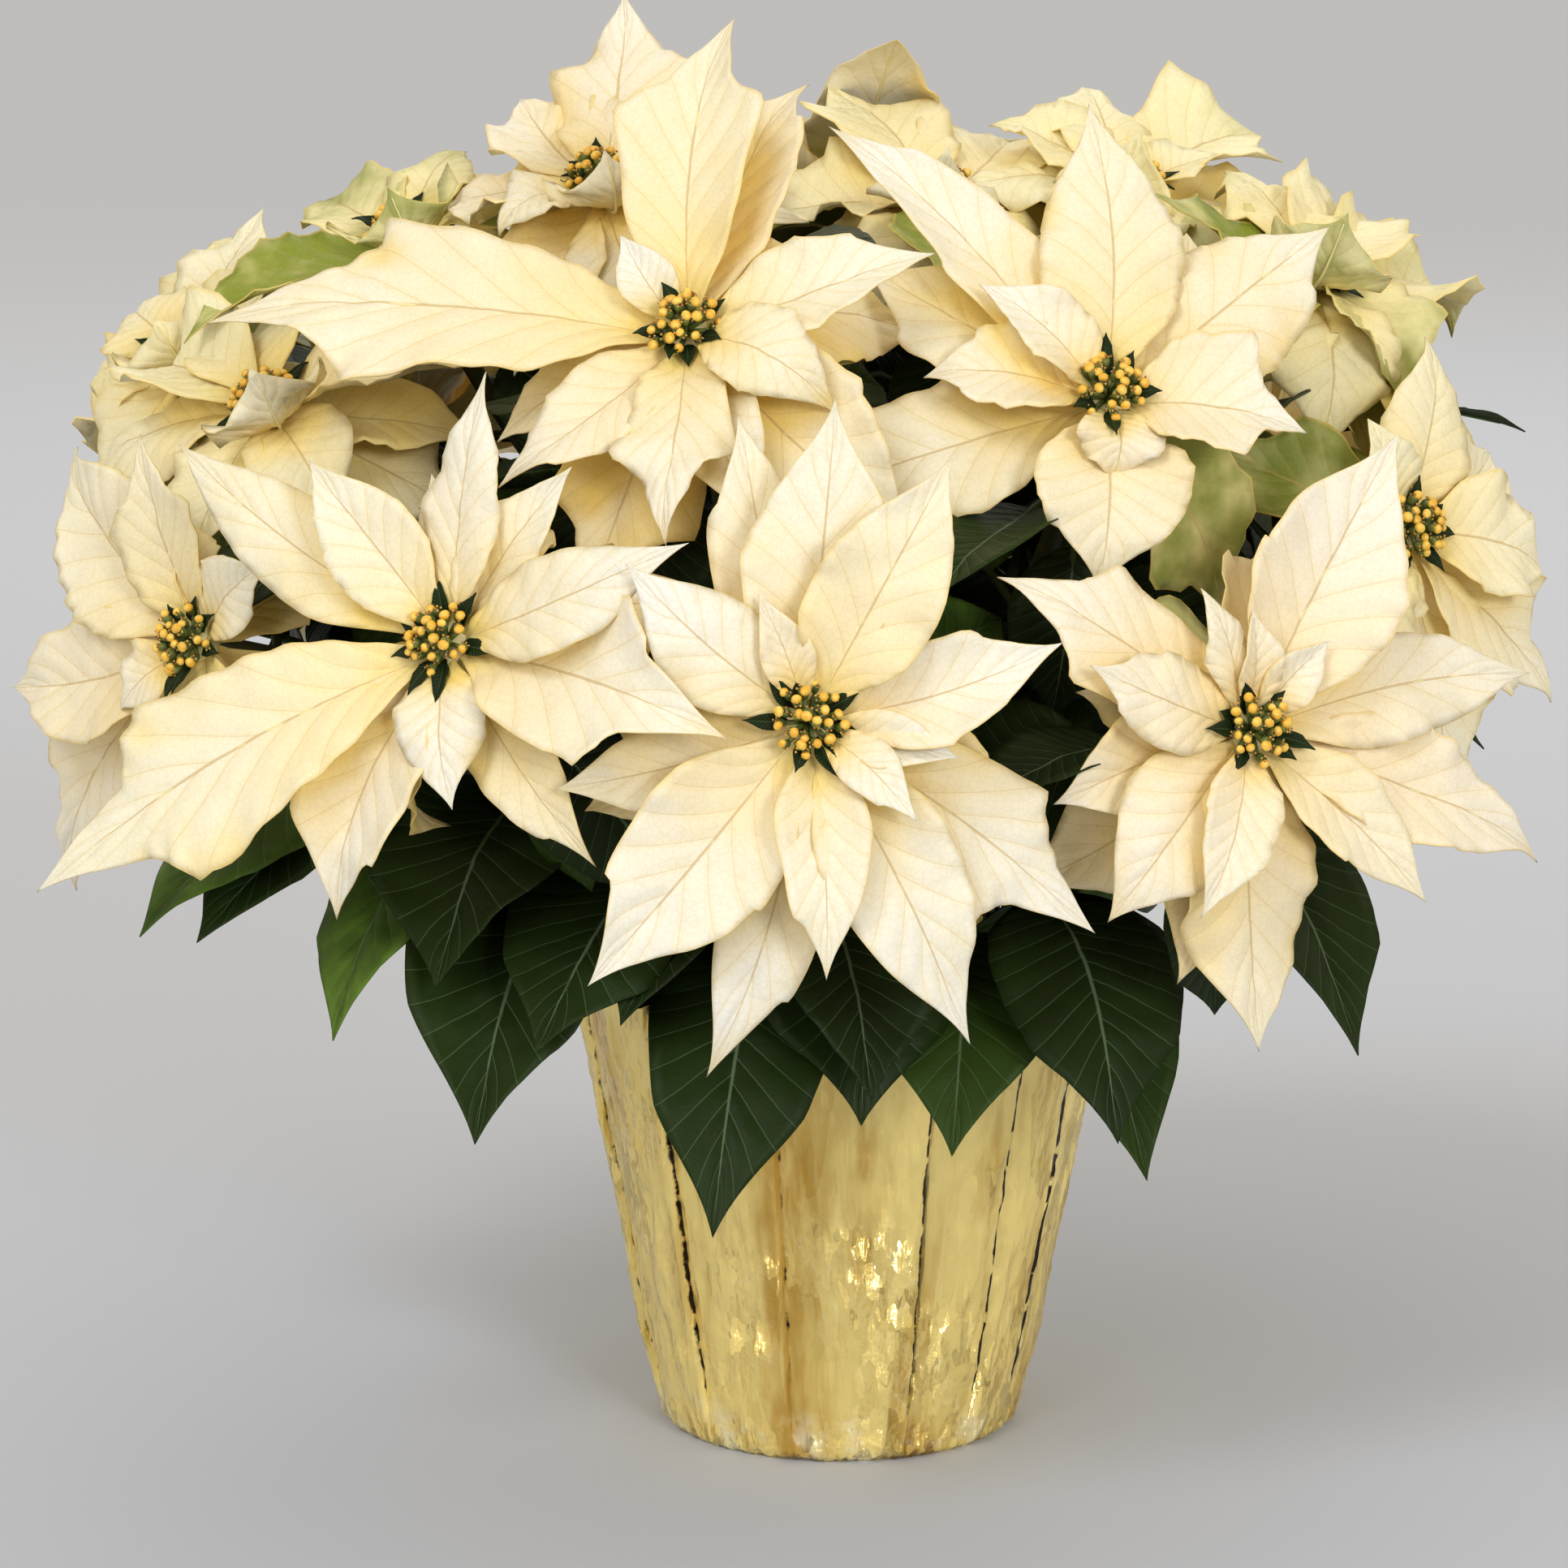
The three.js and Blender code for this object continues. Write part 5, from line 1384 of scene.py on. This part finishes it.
def foil_bulge(out, radius, z, share, high):
    """How far the foil stands out from its cone: its pleat's step, its crumples, streaks and puckers."""
    step = COVER["pleat_depth"] * (min(share / 0.3, 1) * 0.35 + 0.65 * share) * high
    drop = clamp((share - CLOSED_EDGE) / EDGE_RAMP, 0, 1)
    relief = noise.noise(spot_on(out, z, STREAK)) * STREAK["depth"]
    for fineness, depth, start, sharp in CRUMPLES:
        wave = noise.noise(spot_on(out, z, FOIL) * fineness + Vector(start))
        relief += depth * (abs(wave) if sharp else wave)
    at_foot = clamp(1 - z / PUCKER["height"], 0, 1) * clamp((radius - PUCKER["from"]) / PUCKER["over"], 0, 1)
    pucker = PUCKER["depth"] * at_foot * (0.4 - 2 * abs(noise.noise(spot_on(out, z, PUCKER))))
    return step * (1 - drop) - COVER["fold_inset"] * drop * high + relief * high * FOIL["relief"] + pucker


def build_foil():
    """The foil cover: pleats that overlap at sharp folds, crumpled all over and most at the foot."""
    bm = new_piece_mesh()
    fold_shadow_layer = bm.verts.layers.float.new("fold")
    line = foil_line()
    pleats = len(FOLDS) - 1
    rows, crest = FOIL["rows"], COVER["ruffle_height"]
    made = bmesh.ops.create_grid(bm, x_segments=FOIL["columns"] * pleats, y_segments=rows, size=0.5)
    for vert in made["verts"]:
        column = clamp((vert.co.x + 0.5) * pleats, 0, pleats - 1e-6)
        k = int(column)
        part = column - k
        share = 1 - (1 - part) ** FOIL["crowding"]
        radius, z = line[round((vert.co.y + 0.5) * rows)]
        high = clamp(z / FOIL["full_depth"], 0, 1)
        out = heading(mixed(FOLDS[k], FOLDS[k + 1], share) + foil_lean(k, z) * math.sin(math.pi * share))
        at_rim = clamp((z - COVER["height"] + crest) / crest, 0, 1)
        ruffle = COVER["ruffle"] * math.sin(2 * math.pi * part) * at_rim
        # The painted shadow under the fold at the pleat's end, which the foil's colour reads as its darkest
        # paint.
        edge = FOLD_SHADOW_START.get(FOLDS[k + 1], CLOSED_EDGE)
        vert[fold_shadow_layer] = clamp((share - edge) / EDGE_RAMP, 0, 1) * high
        place = out * (radius + foil_bulge(out, radius, z, share, high) * clamp(radius / 50, 0, 1))
        vert.co = Vector((place.x, place.y, z + ruffle))
    close_round(bm, made["verts"])
    close_piece(bm, "gold_foil_cover", ["foil"], "foil", "foil_cover")


def drill_holes(piece):
    """Cuts the drain holes through the pot's floor."""
    drill = bmesh.new()
    radius = DRAIN_HOLE["radius"] / METRE
    for i in range(DRAIN_HOLE["count"]):
        angle = 2 * math.pi * i / DRAIN_HOLE["count"]
        at = Vector((math.cos(angle), math.sin(angle), 0)) * (DRAIN_HOLE["ring"] / METRE)
        bmesh.ops.create_cone(
            drill, cap_ends=True, segments=DRAIN_HOLE["sides"], radius1=radius, radius2=radius,
            depth=DRAIN_HOLE["depth"] / METRE, matrix=Matrix.Translation(at),
        )
    drills = in_scene("drills", bpy.data.meshes.new("drills"))
    drill.to_mesh(drills.data)
    drill.free()
    holes = piece.modifiers.new("holes", "BOOLEAN")
    holes.object = drills
    drilled = bpy.data.meshes.new_from_object(piece.evaluated_get(bpy.context.evaluated_depsgraph_get()))
    piece.modifiers.clear()
    piece.data = drilled
    bpy.data.objects.remove(drills)


def build_pot():
    """The brown nursery pot, with its stepped rim, rounded lip and drain holes."""
    bm = new_piece_mesh()
    base = COVER["wall"] + POT["raised"] + SEAT_GAP
    foot, rim, top, wall, turn = POT["foot"], POT["rim"], POT["top"], POT["wall"], POT["foot_round"]
    bead = top - POT["bead"]
    ring = DRAIN_HOLE["ring"]
    spun(bm, [
        (0, base + POT["arch"]), (ring - 8, base + POT["arch"]), (ring - 7, base), (foot - turn, base),
        (foot, base + turn), (rim - POT["bead_step"] - 0.4, bead - 1), (rim - 0.4, bead),
        (rim, bead + POT["bead_round"]), (rim, top - POT["lip"]), (rim - POT["lip"], top),
        (rim - wall, top - POT["lip_inside"]), (rim - wall, bead), (foot - wall, base + wall),
        (0, base + wall),
    ], POT["sides"])
    close_round(bm, bm.verts)
    drill_holes(close_piece(bm, "brown_nursery_pot", ["pot"], "pot", "nursery_pot"))


def crumbs(x, y):
    """How far the mix stands up in crumbs at a place."""
    pitch = SOIL["crumb_pitch"]
    up = SOIL["crumb"] * math.sin(x / pitch) * math.cos(y / pitch + 1)
    for size, fineness, layer in SOIL["lumps"]:
        up += size * noise.noise(Vector((x, y, layer)) * fineness)
    return up


def scatter_flecks(bm, kind, count, size):
    """Lays small flat lumps of one kind on the mix."""
    for i in range(count):
        draw = lambda n: scatter(kind * 300 + i, n)
        at = heading(180 * draw(2)) * (SOIL["reach"] * math.sqrt(0.5 + 0.5 * draw(1)))
        shape = Matrix.Diagonal((size * (1 + 0.5 * draw(3)), size, size * 0.6, 1))
        turn = Matrix.Rotation(3 * draw(4), 4, "Z") @ Matrix.Rotation(0.4 * draw(5), 4, "X")
        lie = Matrix.Translation((at.x, at.y, SOIL["top"] + SOIL["flecks_up"])) @ turn @ shape
        bmesh.ops.create_icosphere(bm, subdivisions=1, radius=1, matrix=lie)


def build_soil():
    """The growing mix: a crumbly top with flecks of perlite and bits of bark."""
    bm = new_piece_mesh()
    top, floor = SOIL["top"], SOIL["floor"]
    slope = lambda z: mixed(POT["foot"], POT["rim"], (z - floor) / (POT["top"] - floor))
    inside = lambda z: slope(z) - POT["wall"] - SOIL["clear"]
    # The outline from the middle of the top to the middle of the floor: share, radius and height.
    line = [(0, 0, top), (0.8, inside(top), top), (0.9, inside(floor), floor), (1, 0, floor)]
    made = bmesh.ops.create_grid(bm, x_segments=SOIL["columns"], y_segments=SOIL["rows"], size=0.5)
    for vert in made["verts"]:
        s = vert.co.y + 0.5
        k = clamp(bisect.bisect_right([station[0] for station in line], s) - 1, 0, 2)
        t = (s - line[k][0]) / (line[k + 1][0] - line[k][0])
        out = heading(360 * (vert.co.x + 0.5)) * mixed(line[k][1], line[k + 1][1], t)
        z = mixed(line[k][2], line[k + 1][2], t)
        vert.co = Vector((out.x, out.y, z + (crumbs(out.x, out.y) if k == 0 else 0)))
    close_round(bm, made["verts"])
    for kind, count, size in FLECKS:
        with painted(bm, kind):
            scatter_flecks(bm, kind, count, size)
    close_piece(bm, "peat_mix", ["soil", "perlite", "bark"], "growing_mix", "growing_mix")


# ---------------------------------------------------------------- light, floor and camera

FLOOR = {"size": 40, "colour": (0.535, 0.56, 0.65, 1), "rough": 0.9}
ROOM_LIGHT = {"colour": (1, 0.91, 0.71, 1), "strength": 0.69}
# A sun's row: name, energy, spread and turn. A lamp's row: name, place, size and power.
SUNS = [("key", 0.8, 20, (44, 0, -32)), ("fill", 0.9, 14, (74, 0, 24))]
SUN_COLOUR = (0.92, 0.96, 1.0)
LAMPS = [
    ("front_left", (-1.3, -2.6, 1.4), 1.2, 12), ("front_right", (1.5, -2.6, 1.2), 0.6, 5),
    ("back", (0.5, 2.4, 2.2), 1.6, 14),
]
LAMPS_FACE = Vector((0, 0, 0.25))
CAMERA = {"lens": 129.5, "sensor": 36, "rise": 11, "far": 1.8, "target": (-0.018, 0, 0.208)}


def lay_floor():
    bm = bmesh.new()
    bmesh.ops.create_grid(bm, x_segments=4, y_segments=4, size=FLOOR["size"])
    mesh = bpy.data.meshes.new("floor")
    bm.to_mesh(mesh)
    bm.free()
    floor = in_scene("floor", mesh)
    material, _, skin = new_material("pale floor")
    skin["Base Color"].default_value = FLOOR["colour"]
    skin["Roughness"].default_value = FLOOR["rough"]
    mesh.materials.append(material)
    floor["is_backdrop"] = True


def set_lights():
    """A room's soft light, two wide suns and three lamps that face the plant."""
    world = bpy.data.worlds.new("studio")
    bpy.context.scene.world = world
    world.use_nodes = True
    background = world.node_tree.nodes["Background"].inputs
    background["Color"].default_value = ROOM_LIGHT["colour"]
    background["Strength"].default_value = ROOM_LIGHT["strength"]
    for name, energy, spread, turn in SUNS:
        sun = bpy.data.lights.new(name, "SUN")
        sun.energy = energy
        sun.angle = math.radians(spread)
        sun.color = SUN_COLOUR
        in_scene(name, sun).rotation_euler = [math.radians(angle) for angle in turn]
    for name, at, size, power in LAMPS:
        lamp = bpy.data.lights.new(name, "AREA")
        lamp.size = size
        lamp.energy = power
        holder = in_scene(name, lamp)
        holder.location = at
        holder.rotation_euler = (LAMPS_FACE - Vector(at)).to_track_quat("-Z", "Y").to_euler()
    bpy.context.scene.view_settings.view_transform = "Standard"


def set_camera():
    """Looks at the blooms from the front and a little above them."""
    camera = bpy.data.cameras.new("camera")
    camera.lens = CAMERA["lens"]
    camera.sensor_width = CAMERA["sensor"]
    rise = math.radians(CAMERA["rise"])
    holder = in_scene("camera", camera)
    holder.location = Vector(CAMERA["target"]) + Vector((0, -math.cos(rise), math.sin(rise))) * CAMERA["far"]
    holder.rotation_euler = (math.pi / 2 - rise, 0, 0)
    bpy.context.scene.camera = holder


# ---------------------------------------------------------------- assembly

set_camera()
lay_floor()
set_lights()
blooms = [Bloom(index, row) for index, row in enumerate(BLOOMS)]
for plant in PLANTS:
    rising = sorted((bloom for bloom in blooms if bloom.plant == plant), key=lambda bloom: bloom.centre.z)
    for rank, bloom in enumerate(rising):
        set_branch(bloom, rank)
build_foil()
build_pot()
build_soil()
standing = [standing_solids()]
for bloom in blooms:
    build_bracts(bloom, standing)
    build_cyathia(bloom)
for plant in PLANTS:
    build_plant(plant, blooms, standing)

boxes = {"solids": solids_box, "pieces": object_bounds()}
{name: [list(corner) for corner in box] for name, box in boxes.items()}
